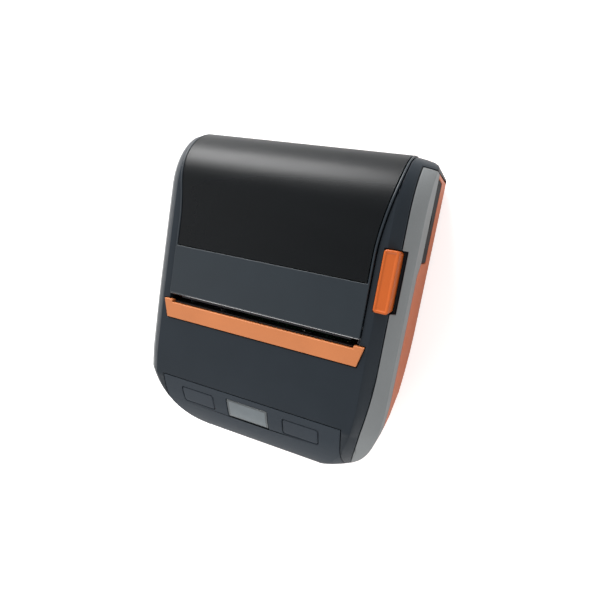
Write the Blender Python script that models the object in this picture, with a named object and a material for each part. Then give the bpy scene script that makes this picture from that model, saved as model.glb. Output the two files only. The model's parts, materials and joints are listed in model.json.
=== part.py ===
"""Portable receipt printer with a hinged paper cover, lying on its back.

Metres. +Z points out of the printer's front face, +Y towards the hinged end and +X towards
the cover latch. The origin is the middle of the surface that the printer lies on.
"""

import math

import bmesh
import bpy
from mathutils import Matrix, Vector

# Running clearance between neighbouring pieces, and the overrun of every cutter
GAP = 0.0003
OVERRUN = 0.012
WELD = 0.000001

# Body
WIDTH = 0.114
LENGTH = 0.145
FACE_HEIGHT = 0.059
FACE_FALL = 0.0009
NOSE_TOP_SHARE = 0.3644
LOWER_CORNER_SHARE = 0.5918
FOOT_PROUD = 0.001
END_Y = LENGTH / 2
HALF_WIDTH = WIDTH / 2

# Rolled far end of the body
ROLL_DEPTH = 0.0265
ROLL_DROP = 0.025
END_CORNER_WIDTH = 0.014
END_CORNER_LENGTH = 0.005
END_EDGE_RADIUS = 0.004
ROLL_Y = END_Y - ROLL_DEPTH
ROLL_Z = FACE_HEIGHT - ROLL_DROP

# Chin and nose at the lower end
CHIN_LENGTH = 0.0339
CHIN_RADIUS = 0.0556
NOSE_TOP = FACE_HEIGHT * NOSE_TOP_SHARE
NOSE_THICKNESS = 0.004
KEEL_RISE_LENGTH = 0.0145
LOWER_CORNER_LENGTH = 0.045
LOWER_CORNER_WIDTH = HALF_WIDTH * LOWER_CORNER_SHARE
LOWER_CORNER_OVERHANG = 0.002
NOTCH_INSET = 0.025
NOTCH_DEPTH = 0.002
NOTCH_HEIGHT = 0.009
CHIN_LINE_Y = CHIN_LENGTH - END_Y
NOTCH_HALF = HALF_WIDTH - NOTCH_INSET
NOTCH_TOP = NOSE_TOP + NOTCH_HEIGHT
NOSE_BOTTOM = NOSE_TOP - NOSE_THICKNESS
KEEL_Y = KEEL_RISE_LENGTH - END_Y

# Cross section: flattened shoulder at the front edges, hull-like bilge at the back edges
SHOULDER = 0.010
SHOULDER_POWER = 1.2
SHOULDER_LIMIT_SHARE = 0.5
SHOULDER_INSET_SHARE = 0.586
BILGE_RADIUS = 0.004
BILGE_GROWTH_WIDTH = 0.012
BILGE_GROWTH_HEIGHT = 0.028
BILGE_GROWTH_LENGTH = 0.038
BILGE_START_LENGTH = 0.0695
LEAST_RADIUS = 0.0005
BILGE_START_Y = BILGE_START_LENGTH - END_Y
SHOULDER_STEPS = 5
BILGE_STEPS = 4
NOSE_STEPS = 7
MIDDLE_STEPS = 5
ROLL_STEPS = 6

# Walls
BACK_WALL = 0.0024
FRONT_WALL = 0.0036
BAND_WALL = 0.0015
PANEL_WALL = 0.0016

# Parting line between the front and back shells, seen from the side
PARTING_END = 0.008
PARTING_PORT_SHARE = 0.561
PARTING_SIDE_SHARE = 0.6441
PARTING_STEP_LENGTH = 0.005
PARTING_NOSE_RISE_START = 0.0125
PARTING_NOSE_RISE_END = 0.0345
PARTING_PORT = FACE_HEIGHT * PARTING_PORT_SHARE
PARTING_SIDE = FACE_HEIGHT * PARTING_SIDE_SHARE

# Side bands
BAND_EDGE_INSET = 0.0053
BAND_END_INSET = 0.0058
BAND_TAPER_START = 0.0605
BAND_TAPER_END = 0.011
BAND_TAPER_WIDTH = 0.007
BAND_TAPER_POWER = 2.0
BAND_TAPER_STEPS = 6
BAND_TIP_SLOPE_SHARE = 0.55
BAND_EDGE_X = HALF_WIDTH - BAND_EDGE_INSET
BAND_END_Y = END_Y - BAND_END_INSET
BAND_TAPER_START_Y = BAND_TAPER_START - END_Y
BAND_TAPER_END_Y = BAND_TAPER_END - END_Y

# Paper cover
COVER_PROUD = 0.001
COVER_FLAT_SHARE = 0.325517
COVER_WALL = 0.0024
COVER_FRONT_INSET = 0.0135
COVER_REAR_INSET = 0.0095
FLARE_START_SHARE = 0.68
FLARE_LENGTH_SHARE = 0.78
COVER_END_SETBACK = 0.0005
COVER_ARC_STEPS = 9
LIP_LENGTH = 0.0035
LIP_DEPTH = 0.004
LIP_CHAMFER = 0.0006
LIP_STEPS = 4
FLARE_STEPS = 5
KNUCKLE_RADIUS = 0.0026
HINGE_PIN_RADIUS = 0.0011
HINGE_PIN_REACH = 0.0022
HINGE_BOSS_WIDTH = 0.0034
HINGE_BOSS_HALF = 0.0028
COVER_TOP = FACE_HEIGHT + COVER_PROUD
COVER_FLAT = LENGTH * COVER_FLAT_SHARE
COVER_FRONT_Y = ROLL_Y - COVER_FLAT
COVER_HALF_FRONT = HALF_WIDTH - COVER_FRONT_INSET
COVER_HALF_REAR = HALF_WIDTH - COVER_REAR_INSET
COVER_FLARE_START_Y = COVER_FRONT_Y + COVER_FLAT * FLARE_START_SHARE
COVER_FLARE_LENGTH = COVER_FLAT * FLARE_LENGTH_SHARE
COVER_END_Y = END_Y - COVER_END_SETBACK
HINGE_Y = COVER_END_Y - KNUCKLE_RADIUS
HINGE_Z = ROLL_Z
HINGE_REST_Z = HINGE_Z - KNUCKLE_RADIUS - GAP - GAP

# Cover window
WINDOW_SHARE = 0.464
WINDOW_WALL = 0.0012
WINDOW_MARGIN = 0.0012
WINDOW_ARC_SHARE = 0.8
SIGHT_INSET = 0.0075
SIGHT_MARGIN = 0.0055
SIGHT_ROLL_LENGTH = 0.014
WINDOW_Y = COVER_FRONT_Y + COVER_FLAT * WINDOW_SHARE
SIGHT_HALF = COVER_HALF_FRONT - SIGHT_INSET
SIGHT_START_Y = WINDOW_Y + SIGHT_MARGIN
SIGHT_END_Y = ROLL_Y + SIGHT_ROLL_LENGTH

# Platen and its drive
PLATEN_SETBACK = 0.0065
PLATEN_DROP = 0.008
PLATEN_RADIUS = 0.0042
PLATEN_INSET = 0.004
SHAFT_RADIUS = 0.00105
BUSH_WALL = 0.0008
CHEEK_WALL = 0.0013
CHEEK_HALF = 0.0043
CHEEK_DROP = 0.0044
CHEEK_CHAMFER = 0.0018
GEAR_WIDTH = 0.0016
GEAR_MODULE = 0.0005
PLATEN_TEETH = 20
IDLER_TEETH = 24
PINION_TEETH = 10
PRESSURE_ANGLE = math.radians(20)
BACKLASH = 0.00009
ROOT_CLEARANCE = 0.00013
GEAR_SPREAD = 0.00005
IDLER_DIRECTION = math.radians(-105)
PINION_DIRECTION = math.radians(-138)
PLATEN_Y = COVER_FRONT_Y + PLATEN_SETBACK
PLATEN_Z = FACE_HEIGHT - PLATEN_DROP
PLATEN_HALF = COVER_HALF_FRONT - PLATEN_INSET
CHEEK_X = PLATEN_HALF + GAP + GAP
CHEEK_END_X = CHEEK_X + CHEEK_WALL
GEAR_X = CHEEK_END_X + GAP
GEAR_END_X = GEAR_X + GEAR_WIDTH

# Print mechanism
MOTOR_RADIUS = 0.0085
MOTOR_LENGTH = 0.0157
MOTOR_BORE_DEPTH = 0.0042
MOTOR_SHAFT_RADIUS = 0.00075
PIN_HEAD_RADIUS = 0.0018
PIN_HEAD_WALL = 0.0006
FRAME_FRONT_WALL = 0.0015
FRAME_FRONT_REACH = 0.0205
FRAME_REAR_REACH = 0.0055
FRAME_CLEARANCE = 0.0005
FRAME_STEP_LENGTH = 0.009
FRAME_FACE_CLEARANCE = 0.0008
HEAD_WALL = 0.001
HEAD_HALF_HEIGHT = 0.004
HEATSINK_WALL = 0.002
HEATSINK_HEIGHT = 0.0114
HEATSINK_TOP_DROP = 0.004
HEAD_SPRING_RADIUS = 0.0024
HEAD_SPRING_WIRE = 0.0003
HEAD_SPRING_TURNS = 5
COIL_POINTS = 8
FRAME_FRONT_Y = PLATEN_Y - FRAME_FRONT_REACH
FRAME_REAR_Y = PLATEN_Y + FRAME_REAR_REACH
HEAD_SPRING_X = PLATEN_HALF / 2

# Tear bar and blade
TEAR_GAP = 0.0024
TEAR_WIDTH = 0.0082
TEAR_TOP_OVERHANG = 0.0025
TEAR_BOTTOM_OVERHANG = 0.0005
TEAR_TOP_PROUD = 0.0009
TEAR_BOTTOM_PROUD = 0.0001
TEAR_DEPTH = 0.002
SLOT_INSET = 0.0017
SLOT_DEPTH = 0.0013
THROAT_DEPTH = 0.0036
BLADE_WALL = 0.0005
BLADE_HEIGHT = 0.0042
BLADE_TOP_DROP = 0.0003
BLADE_TOOTH_DEPTH = 0.0008
BLADE_TEETH = 40
TEAR_TOP_Y = COVER_FRONT_Y - TEAR_GAP
TEAR_BOTTOM_Y = TEAR_TOP_Y - TEAR_WIDTH
TEAR_TOP_HALF = COVER_HALF_FRONT + TEAR_TOP_OVERHANG
TEAR_BOTTOM_HALF = COVER_HALF_FRONT + TEAR_BOTTOM_OVERHANG
SLOT_HALF = COVER_HALF_FRONT - SLOT_INSET
SLOT_Y = TEAR_TOP_Y - SLOT_DEPTH
THROAT_Y = TEAR_TOP_Y - THROAT_DEPTH

# Chin panel, keys and display
PANEL_INSET = 0.0144
PANEL_LOW_RISE = 0.010
KEY_PLACE_SHARE = 0.589
KEY_WIDTH_SHARE = 0.1934
DISPLAY_WIDTH_SHARE = 0.23
KEY_BOARD_SHARE = 0.8216
KEY_HALF_HEIGHT = 0.0047
KEY_CORNER = 0.0012
KEY_DEPTH = 0.0034
KEY_TRAVEL = 0.0008
KEY_DROP = 0.008
DISPLAY_HALF_HEIGHT = 0.0055
DISPLAY_SUNK = 0.0002
DISPLAY_WALL = 0.0014
MODULE_WALL = 0.0045
MODULE_MARGIN = 0.0012
BOARD_WALL = 0.0012
KEY_BOARD_HALF_HEIGHT = 0.0068
SWITCH_HALF = 0.003
SWITCH_TIP_HALF = 0.0016
SWITCH_TIP_HEIGHT = 0.0008
CORNER_STEPS = 3
PANEL_HALF = HALF_WIDTH - PANEL_INSET
PANEL_LOW_Z = NOSE_TOP + PANEL_LOW_RISE
KEY_X = PANEL_HALF * KEY_PLACE_SHARE
KEY_HALF = PANEL_HALF * KEY_WIDTH_SHARE
KEY_Y = CHIN_LINE_Y - KEY_DROP
DISPLAY_HALF = PANEL_HALF * DISPLAY_WIDTH_SHARE
KEY_BOARD_HALF = PANEL_HALF * KEY_BOARD_SHARE

# Cover latch
LATCH_SPACING = 0.003
LATCH_WIDTH = 0.0058
LATCH_START_SHARE = 0.2511
LATCH_LENGTH_SHARE = 0.4983
LATCH_PROUD = 0.002
LATCH_HEIGHT = 0.0097
LATCH_TRAVEL = 0.0014
LATCH_CORNER = 0.0012
LATCH_NUB_HALF = 0.003
LATCH_NUB_DROP = 0.0037
LATCH_NUB_WALL = 0.0013
LATCH_TAIL_HALF = 0.0025
LATCH_TAIL_WALL = 0.0016
LATCH_TAIL_LENGTH = 0.0086
LATCH_SPRING_RADIUS = 0.0017
LATCH_SPRING_WIRE = 0.0003
LATCH_SPRING_TURNS = 4
HOUSING_WALL = 0.0014
CATCH_HALF = 0.004
CATCH_WALL = 0.0014
CATCH_LENGTH = 0.007
CATCH_INSET = 0.0002
LATCH_X = COVER_HALF_FRONT + LATCH_SPACING
LATCH_START_Y = COVER_FRONT_Y + COVER_FLAT * LATCH_START_SHARE
LATCH_LENGTH = COVER_FLAT * LATCH_LENGTH_SHARE
LATCH_TOP = FACE_HEIGHT + LATCH_PROUD
LATCH_Y = LATCH_START_Y + LATCH_LENGTH / 2
LATCH_END_X = LATCH_X + LATCH_WIDTH
LATCH_LOW_Z = LATCH_TOP - LATCH_HEIGHT
LATCH_FLOOR_Z = LATCH_LOW_Z - GAP

# Paper bin
BIN_FRONT_REACH = 0.0123
BIN_END_REACH = 0.0063
BIN_WALL = 0.0012
BIN_MARGIN = 0.0008
BIN_FRONT_DROP = 0.013
BIN_HINGE_DROP = 0.0045
BIN_REAR_WALL = 0.0006
BIN_STEPS = 12
SENSOR_HALF = 0.003
SENSOR_WALL = 0.0024
SENSOR_HEIGHT = 0.004
SENSOR_DROP = 0.0015
BIN_LOW_Z = FOOT_PROUD + BACK_WALL + GAP + BIN_WALL
BIN_HALF = PLATEN_HALF + BIN_MARGIN
BIN_FRONT_TOP = FACE_HEIGHT - BIN_FRONT_DROP
BIN_REAR_TOP = HINGE_Z - BIN_HINGE_DROP
BIN_END_Y = END_Y - BIN_END_REACH - BIN_WALL
BIN_LENGTH = BIN_END_Y - PLATEN_Y - BIN_FRONT_REACH - BIN_WALL
BIN_RADIUS = min(BIN_LENGTH / 2, BIN_REAR_TOP - BIN_REAR_WALL - BIN_LOW_Z)
BIN_Y = BIN_END_Y - BIN_RADIUS

# Battery, its bay and latch
MAIN_BOARD_INSET = 0.023
MAIN_BOARD_MARGIN = 0.003
BATTERY_END_REACH = 0.0245
BATTERY_FRONT_DROP = 0.001
MECHANISM_HEIGHT = 0.0395
BATTERY_CORNER = 0.0025
BAY_WALL = 0.0016
BAY_MARGIN = 0.0032
CONTACT_HALF = 0.008
CONTACT_LENGTH = 0.006
CONTACT_INSET = 0.004
SLIDER_HALF = 0.008
SLIDER_LENGTH = 0.007
SLIDER_TRAVEL = 0.003
SLIDER_FLANGE = 0.002
SLIDER_FLANGE_WALL = 0.0013
SLIDER_TONGUE_HALF = 0.004
SLIDER_GROOVE = 0.0005
SLIDER_GROOVES = 4
GROOVE_START_SHARE = 0.5
MAIN_BOARD_HALF = HALF_WIDTH - MAIN_BOARD_INSET
BATTERY_HALF = MAIN_BOARD_HALF - MAIN_BOARD_MARGIN
BATTERY_START_Y = BATTERY_END_REACH - END_Y
BATTERY_END_Y = COVER_FRONT_Y - BATTERY_FRONT_DROP
BATTERY_HEIGHT = FACE_HEIGHT - MECHANISM_HEIGHT
BAY_HEIGHT = BATTERY_HEIGHT + BAY_MARGIN

# Boards and sockets
BOARD_THICKNESS = 0.0016
INTERFACE_DEPTH = 0.009
PORT_LENGTH = 0.034
PORT_END_REACH = 0.008
PORT_LOW_Z = 0.020
PORT_WALL = 0.0017
PORT_HINGE_INSET = 0.0006
PORT_BLOCK_WALL = 0.0018
PORT_BLOCK_MARGIN = 0.0012
USB_REACH = 0.0075
USB_HALF = 0.0045
USB_LOW_Z = 0.0245
USB_HEIGHT = 0.0034
USB_MOUTH_WALL = 0.0004
USB_MOUTH_DEPTH = 0.0055
USB_TONGUE_HALF = 0.003
JACK_REACH = 0.0205
JACK_HALF = 0.004
JACK_LOW_Z = 0.0222
JACK_HOLE_RADIUS = 0.0027
JACK_HOLE_DEPTH = 0.006
JACK_PIN_RADIUS = 0.0006
INTERFACE_REACH = 0.0015
INTERFACE_LENGTH = 0.0245
INTERFACE_LOW_Z = 0.0175
INTERFACE_TOP_DROP = 0.002
PORT_END_Y = END_Y - PORT_END_REACH
PORT_START_Y = PORT_END_Y - PORT_LENGTH
PORT_FACE_X = HALF_WIDTH - PORT_WALL - GAP
USB_Y = PORT_START_Y + USB_REACH
JACK_Y = PORT_START_Y + JACK_REACH
INTERFACE_X = PORT_FACE_X - INTERFACE_DEPTH
INTERFACE_START_Y = PORT_START_Y + INTERFACE_REACH
INTERFACE_END_Y = INTERFACE_START_Y + INTERFACE_LENGTH
INTERFACE_TOP_Z = PARTING_PORT - INTERFACE_TOP_DROP
FRAME_LOW_Z = FOOT_PROUD + BAY_HEIGHT + GAP + BOARD_THICKNESS + FRAME_CLEARANCE

# Feet and case screws
FOOT_RADIUS = 0.0035
FOOT_RECESS = 0.001
FRONT_FOOT_INSET = 0.0195
FRONT_FOOT_REACH = 0.0345
REAR_FOOT_INSET = 0.017
REAR_FOOT_REACH = 0.0155
REAR_SCREW_INSET = 0.0074
REAR_SCREW_REACH = 0.0105
FRONT_SCREW_INSET = 0.017
FRONT_SCREW_REACH = 0.0175
FRONT_FOOT_X = HALF_WIDTH - FRONT_FOOT_INSET
FRONT_FOOT_Y = FRONT_FOOT_REACH - END_Y
REAR_FOOT_X = HALF_WIDTH - REAR_FOOT_INSET
REAR_FOOT_Y = END_Y - REAR_FOOT_REACH
REAR_SCREW_X = HALF_WIDTH - REAR_SCREW_INSET
REAR_SCREW_Y = END_Y - REAR_SCREW_REACH
FRONT_SCREW_X = HALF_WIDTH - FRONT_SCREW_INSET
FRONT_SCREW_Y = FRONT_SCREW_REACH - END_Y
BOSS_RADIUS = 0.0032
POST_RADIUS = 0.0028
POST_LOW_Z = 0.012
SCREW_HEAD_RADIUS = 0.0022
SCREW_HEAD_HEIGHT = 0.0014
SCREW_HEAD_SUNK = 0.0030
SCREW_RADIUS = 0.0012
SCREW_REACH = 0.006
SOCKET_RADIUS = 0.0011
SOCKET_DEPTH = 0.0007
SOCKET_SIDES = 6

ROUND_SIDES = 24
SMALL_SIDES = 14

FINISHES = {
    "black_plastic": ((0.020, 0.024, 0.030), 0.45, 0.0),
    "cover_plastic": ((0.024, 0.030, 0.036), 0.40, 0.0),
    "smoked_window": ((0.010, 0.012, 0.016), 0.12, 0.0),
    "panel_plastic": ((0.045, 0.054, 0.064), 0.45, 0.0),
    "key_plastic": ((0.036, 0.044, 0.052), 0.45, 0.0),
    "grey_plastic": ((0.19, 0.205, 0.215), 0.50, 0.0),
    "orange_plastic": ((0.55, 0.12, 0.018), 0.42, 0.0),
    "display_glass": ((0.17, 0.19, 0.21), 0.20, 0.0),
    "display_frame": ((0.08, 0.09, 0.10), 0.50, 0.0),
    "rubber": ((0.014, 0.014, 0.015), 0.80, 0.0),
    "steel": ((0.62, 0.62, 0.64), 0.30, 1.0),
    "blade_steel": ((0.66, 0.66, 0.68), 0.25, 1.0),
    "aluminium": ((0.70, 0.71, 0.73), 0.35, 1.0),
    "ceramic": ((0.70, 0.68, 0.62), 0.30, 0.0),
    "gear_plastic": ((0.72, 0.70, 0.62), 0.50, 0.0),
    "frame_metal": ((0.42, 0.43, 0.45), 0.40, 1.0),
    "motor_metal": ((0.30, 0.30, 0.31), 0.45, 1.0),
    "bin_plastic": ((0.018, 0.018, 0.020), 0.55, 0.0),
    "board_green": ((0.02, 0.12, 0.05), 0.50, 0.0),
    "switch_plastic": ((0.05, 0.05, 0.05), 0.50, 0.0),
    "connector_metal": ((0.55, 0.55, 0.56), 0.35, 1.0),
    "connector_plastic": ((0.03, 0.03, 0.03), 0.50, 0.0),
    "battery_plastic": ((0.022, 0.024, 0.028), 0.50, 0.0),
    "bush_plastic": ((0.62, 0.60, 0.54), 0.50, 0.0),
}

PARTS = "portable_receipt_printer"
CUTTERS = "cutters"


# Scene helpers


def clear_scene():
    for obj in list(bpy.data.objects):
        bpy.data.objects.remove(obj, do_unlink=True)
    for mesh in list(bpy.data.meshes):
        bpy.data.meshes.remove(mesh)
    for collection in list(bpy.data.collections):
        bpy.data.collections.remove(collection)


def make_collections():
    for name in (PARTS, CUTTERS):
        collection = bpy.data.collections.new(name)
        bpy.context.scene.collection.children.link(collection)


def new_object(name, mesh):
    """A helper object, which stays out of the render until finish() names it as a part."""
    obj = bpy.data.objects.new(name, mesh)
    bpy.data.collections[CUTTERS].objects.link(obj)
    obj.hide_render = True
    obj.display_type = "WIRE"
    return obj


def object_from(name, bm):
    mesh = bpy.data.meshes.new(name)
    bmesh.ops.recalc_face_normals(bm, faces=bm.faces)
    bm.to_mesh(mesh)
    bm.free()
    return new_object(name, mesh)


def material(name, finish):
    colour, roughness, metallic = FINISHES[finish]
    found = bpy.data.materials.new(name)
    found.use_nodes = True
    shader = found.node_tree.nodes["Principled BSDF"]
    shader.inputs["Base Color"].default_value = (*colour, 1.0)
    shader.inputs["Roughness"].default_value = roughness
    shader.inputs["Metallic"].default_value = metallic
    found.diffuse_color = (*colour, 1.0)
    return found


def finish(obj, name, look, origin=(0, 0, 0), smooth=False):
    """Name a helper object as a part, with its own material and its origin on its axis."""
    obj.name = name
    obj.data.name = name
    obj.hide_render = False
    obj.display_type = "TEXTURED"
    bpy.data.collections[CUTTERS].objects.unlink(obj)
    bpy.data.collections[PARTS].objects.link(obj)
    obj.data.materials.clear()
    obj.data.materials.append(material(name, look))
    if smooth:
        obj.data.shade_smooth()
        obj.data.set_sharp_from_angle(angle=math.radians(30))
    place_origin(obj, origin)
    return obj


def place_origin(obj, origin):
    shift = Vector(origin)
    if shift.length == 0:
        return
    obj.data.transform(Matrix.Translation(-shift))
    obj.location = shift


def boolean(target, tool, operation="DIFFERENCE"):
    modifier = target.modifiers.new(tool.name, "BOOLEAN")
    modifier.operation = operation
    modifier.object = tool
    modifier.solver = "EXACT"
    return target


def settle(obj):
    """Turn the object's modifiers into its mesh."""
    bpy.context.view_layer.update()
    graph = bpy.context.evaluated_depsgraph_get()
    mesh = bpy.data.meshes.new_from_object(obj.evaluated_get(graph))
    obj.modifiers.clear()
    obj.data = mesh
    return obj


def combine(target, tools, operation="DIFFERENCE"):
    for tool in tools:
        boolean(target, tool, operation)
    return target


# Shapes


def box(low, high):
    bm = bmesh.new()
    bmesh.ops.create_cube(bm, size=1)
    size = [top - bottom for bottom, top in zip(low, high)]
    middle = [(top + bottom) / 2 for bottom, top in zip(low, high)]
    bmesh.ops.scale(bm, vec=size, verts=bm.verts)
    bmesh.ops.translate(bm, vec=middle, verts=bm.verts)
    return object_from("box", bm)


def cylinder(axis, middle, radius, low, high, sides=ROUND_SIDES):
    """A cylinder along axis X, Y or Z. middle holds the other two coordinates in order."""
    bm = bmesh.new()
    turn = {"X": Matrix.Rotation(math.pi / 2, 4, "Y"), "Y": Matrix.Rotation(math.pi / 2, 4, "X")}
    bmesh.ops.create_cone(
        bm, cap_ends=True, segments=sides, radius1=radius, radius2=radius, depth=high - low
    )
    bmesh.ops.transform(bm, matrix=turn.get(axis, Matrix.Identity(4)), verts=bm.verts)
    place = list(middle)
    place.insert("XYZ".index(axis), (low + high) / 2)
    bmesh.ops.translate(bm, vec=place, verts=bm.verts)
    return object_from("cylinder", bm)


def prism(axis, loops, low, high):
    """Flat outlines with a thickness along axis: (y, z) for X, (x, z) for Y and (x, y) for Z."""
    curve = bpy.data.curves.new("outline", "CURVE")
    curve.dimensions = "2D"
    curve.fill_mode = "BOTH"
    curve.extrude = (high - low) / 2
    for loop in loops:
        spline = curve.splines.new("POLY")
        spline.points.add(len(loop) - 1)
        for point, place in zip(spline.points, loop):
            point.co = (*place, 0, 1)
        spline.use_cyclic_u = True
    obj = bpy.data.objects.new("outline", curve)
    bpy.data.collections[CUTTERS].objects.link(obj)
    turn = {
        "X": Matrix(((0, 0, 1, 0), (1, 0, 0, 0), (0, 1, 0, 0), (0, 0, 0, 1))),
        "Y": Matrix(((1, 0, 0, 0), (0, 0, -1, 0), (0, 1, 0, 0), (0, 0, 0, 1))),
    }.get(axis, Matrix.Identity(4))
    shift = [0, 0, 0]
    shift["XYZ".index(axis)] = (low + high) / 2
    return curve_to_mesh(obj, Matrix.Translation(shift) @ turn)


def curve_to_mesh(obj, matrix):
    """The curve's solid as a mesh object, with its caps welded and matrix taken into the mesh."""
    bpy.context.view_layer.update()
    graph = bpy.context.evaluated_depsgraph_get()
    mesh = bpy.data.meshes.new_from_object(obj.evaluated_get(graph))
    curve = obj.data
    bpy.data.objects.remove(obj)
    bpy.data.curves.remove(curve)
    bm = bmesh.new()
    bm.from_mesh(mesh)
    bpy.data.meshes.remove(mesh)
    bmesh.ops.remove_doubles(bm, verts=bm.verts, dist=WELD)
    bmesh.ops.transform(bm, matrix=matrix, verts=bm.verts)
    return object_from("outline", bm)


def coil(start, length, axis, radius, wire, turns):
    """A helical spring from start, along axis X or Y."""
    curve = bpy.data.curves.new("coil", "CURVE")
    curve.dimensions = "3D"
    curve.bevel_depth = wire
    curve.bevel_resolution = 0
    curve.use_fill_caps = True
    spline = curve.splines.new("POLY")
    count = turns * COIL_POINTS + 1
    spline.points.add(count - 1)
    for i, point in enumerate(spline.points):
        angle = 2 * math.pi * i / COIL_POINTS
        across, up = radius * math.cos(angle), radius * math.sin(angle)
        along = wire + (length - 2 * wire) * i / (count - 1)
        place = (across, along, up) if axis == "Y" else (along, across, up)
        point.co = (*place, 1)
    obj = bpy.data.objects.new("coil", curve)
    bpy.data.collections[CUTTERS].objects.link(obj)
    return curve_to_mesh(obj, Matrix.Translation(start))


def loft(rings):
    """A closed skin through rings of equal point counts, with flat ends."""
    bm = bmesh.new()
    rows = [[bm.verts.new(point) for point in ring] for ring in rings]
    for row, after in zip(rows, rows[1:]):
        for i in range(len(row)):
            j = (i + 1) % len(row)
            bm.faces.new((row[i], row[j], after[j], after[i]))
    bm.faces.new(rows[0])
    bm.faces.new(reversed(rows[-1]))
    return object_from("loft", bm)


def rounded_rectangle(centre, half_x, half_y, corner):
    """Outline of a rectangle with round corners."""
    outline = []
    for turn, (side_x, side_y) in enumerate(((1, 1), (-1, 1), (-1, -1), (1, -1))):
        for step in range(CORNER_STEPS + 1):
            angle = math.pi / 2 * (turn + step / CORNER_STEPS)
            outline.append(
                (
                    centre[0] + side_x * (half_x - corner) + corner * math.cos(angle),
                    centre[1] + side_y * (half_y - corner) + corner * math.sin(angle),
                )
            )
    return outline


# Outer form


def arc_centre(first, last, radius):
    """Centre of the arc through two (y, z) points, on the side below and behind the chin."""
    middle = ((first[0] + last[0]) / 2, (first[1] + last[1]) / 2)
    across = (last[0] - first[0], last[1] - first[1])
    half = math.hypot(*across) / 2
    reach = math.sqrt(radius**2 - half**2)
    return (
        middle[0] - reach * across[1] / (2 * half),
        middle[1] + reach * across[0] / (2 * half),
    )


CHIN_LINE_Z = FACE_HEIGHT - FACE_FALL
CHIN_CENTRE = arc_centre((CHIN_LINE_Y, CHIN_LINE_Z), (-END_Y, NOSE_TOP), CHIN_RADIUS)


def circle_rise(radius, offset):
    return math.sqrt(max(0, radius**2 - offset**2))


def face_height(y, inset=0):
    """Height of the front surface at y, for a surface set in by inset."""
    flat = FACE_HEIGHT - inset
    if y < COVER_FRONT_Y:
        flat -= FACE_FALL * (COVER_FRONT_Y - y) / (COVER_FRONT_Y - CHIN_LINE_Y)
    heights = [flat]
    if y > ROLL_Y:
        depth = ROLL_DEPTH - inset
        heights.append(ROLL_Z + (ROLL_DROP - inset) * circle_rise(1, (y - ROLL_Y) / depth))
    if y < CHIN_CENTRE[0]:
        heights.append(CHIN_CENTRE[1] + circle_rise(CHIN_RADIUS - inset, y - CHIN_CENTRE[0]))
    return min(heights)


def keel_height(y, inset=0):
    """Height of the back surface at y."""
    start = END_Y - END_EDGE_RADIUS
    if y > start:
        return FOOT_PROUD + END_EDGE_RADIUS - circle_rise(END_EDGE_RADIUS - inset, y - start)
    if y < KEEL_Y:
        rise = NOSE_BOTTOM - FOOT_PROUD - inset
        return NOSE_BOTTOM - rise * circle_rise(1, (KEEL_Y - y) / (KEEL_RISE_LENGTH - inset))
    return FOOT_PROUD + inset


def half_width(y, inset=0):
    far = END_Y - END_CORNER_LENGTH
    low = LOWER_CORNER_LENGTH - LOWER_CORNER_OVERHANG - END_Y
    if y > far:
        share = (y - far) / (END_CORNER_LENGTH - inset)
        return HALF_WIDTH - END_CORNER_WIDTH + (END_CORNER_WIDTH - inset) * circle_rise(1, share)
    if y < low:
        share = (low - y) / (LOWER_CORNER_LENGTH - inset)
        return HALF_WIDTH - LOWER_CORNER_WIDTH + (LOWER_CORNER_WIDTH - inset) * circle_rise(1, share)
    return HALF_WIDTH - inset


def section(y, inset):
    """Right half of the cross section at y, from the front face down to the back."""
    top = face_height(y, inset)
    low = keel_height(y, inset)
    side = half_width(y, inset)
    shoulder = SHOULDER - inset * SHOULDER_INSET_SHARE
    shoulder = min(shoulder, SHOULDER_LIMIT_SHARE * (top - low))
    growth = min(1, max(0, (BILGE_START_Y - y) / BILGE_GROWTH_LENGTH)) ** 2
    across = max(LEAST_RADIUS, BILGE_RADIUS + growth * BILGE_GROWTH_WIDTH - inset)
    up = max(LEAST_RADIUS, BILGE_RADIUS + growth * BILGE_GROWTH_HEIGHT - inset)
    up = min(up, top - low - shoulder - LEAST_RADIUS)
    points = []
    for i in range(SHOULDER_STEPS + 1):
        angle = math.pi / 2 * i / SHOULDER_STEPS
        out = abs(math.sin(angle)) ** (2 / SHOULDER_POWER)
        rise = abs(math.cos(angle)) ** (2 / SHOULDER_POWER)
        points.append((side - shoulder * (1 - out), top - shoulder * (1 - rise)))
    for i in range(BILGE_STEPS + 1):
        angle = math.pi / 2 * i / BILGE_STEPS
        points.append((side - across * (1 - math.cos(angle)), low + up * (1 - math.sin(angle))))
    return points


def stations(inset):
    """Places along Y: close together at the nose and the rolled end."""
    places = []
    for i in range(NOSE_STEPS):
        places.append(-END_Y + CHIN_LENGTH * (1 - math.cos(math.pi / 2 * i / NOSE_STEPS)))
    for i in range(MIDDLE_STEPS):
        places.append(CHIN_LINE_Y + (ROLL_Y - CHIN_LINE_Y) * i / MIDDLE_STEPS)
    for i in range(ROLL_STEPS + 1):
        places.append(ROLL_Y + ROLL_DEPTH * math.sin(math.pi / 2 * i / ROLL_STEPS))
    return [y * (END_Y - inset) / END_Y for y in places]


def form(inset=0):
    """The body's outer form, set in by inset."""
    rings = []
    for y in stations(inset):
        right = section(y, inset)
        ring = [(x, y, z) for x, z in right]
        ring += [(-x, y, z) for x, z in reversed(right)]
        rings.append(ring)
    return loft(rings)


# Regions of the outer form


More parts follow.
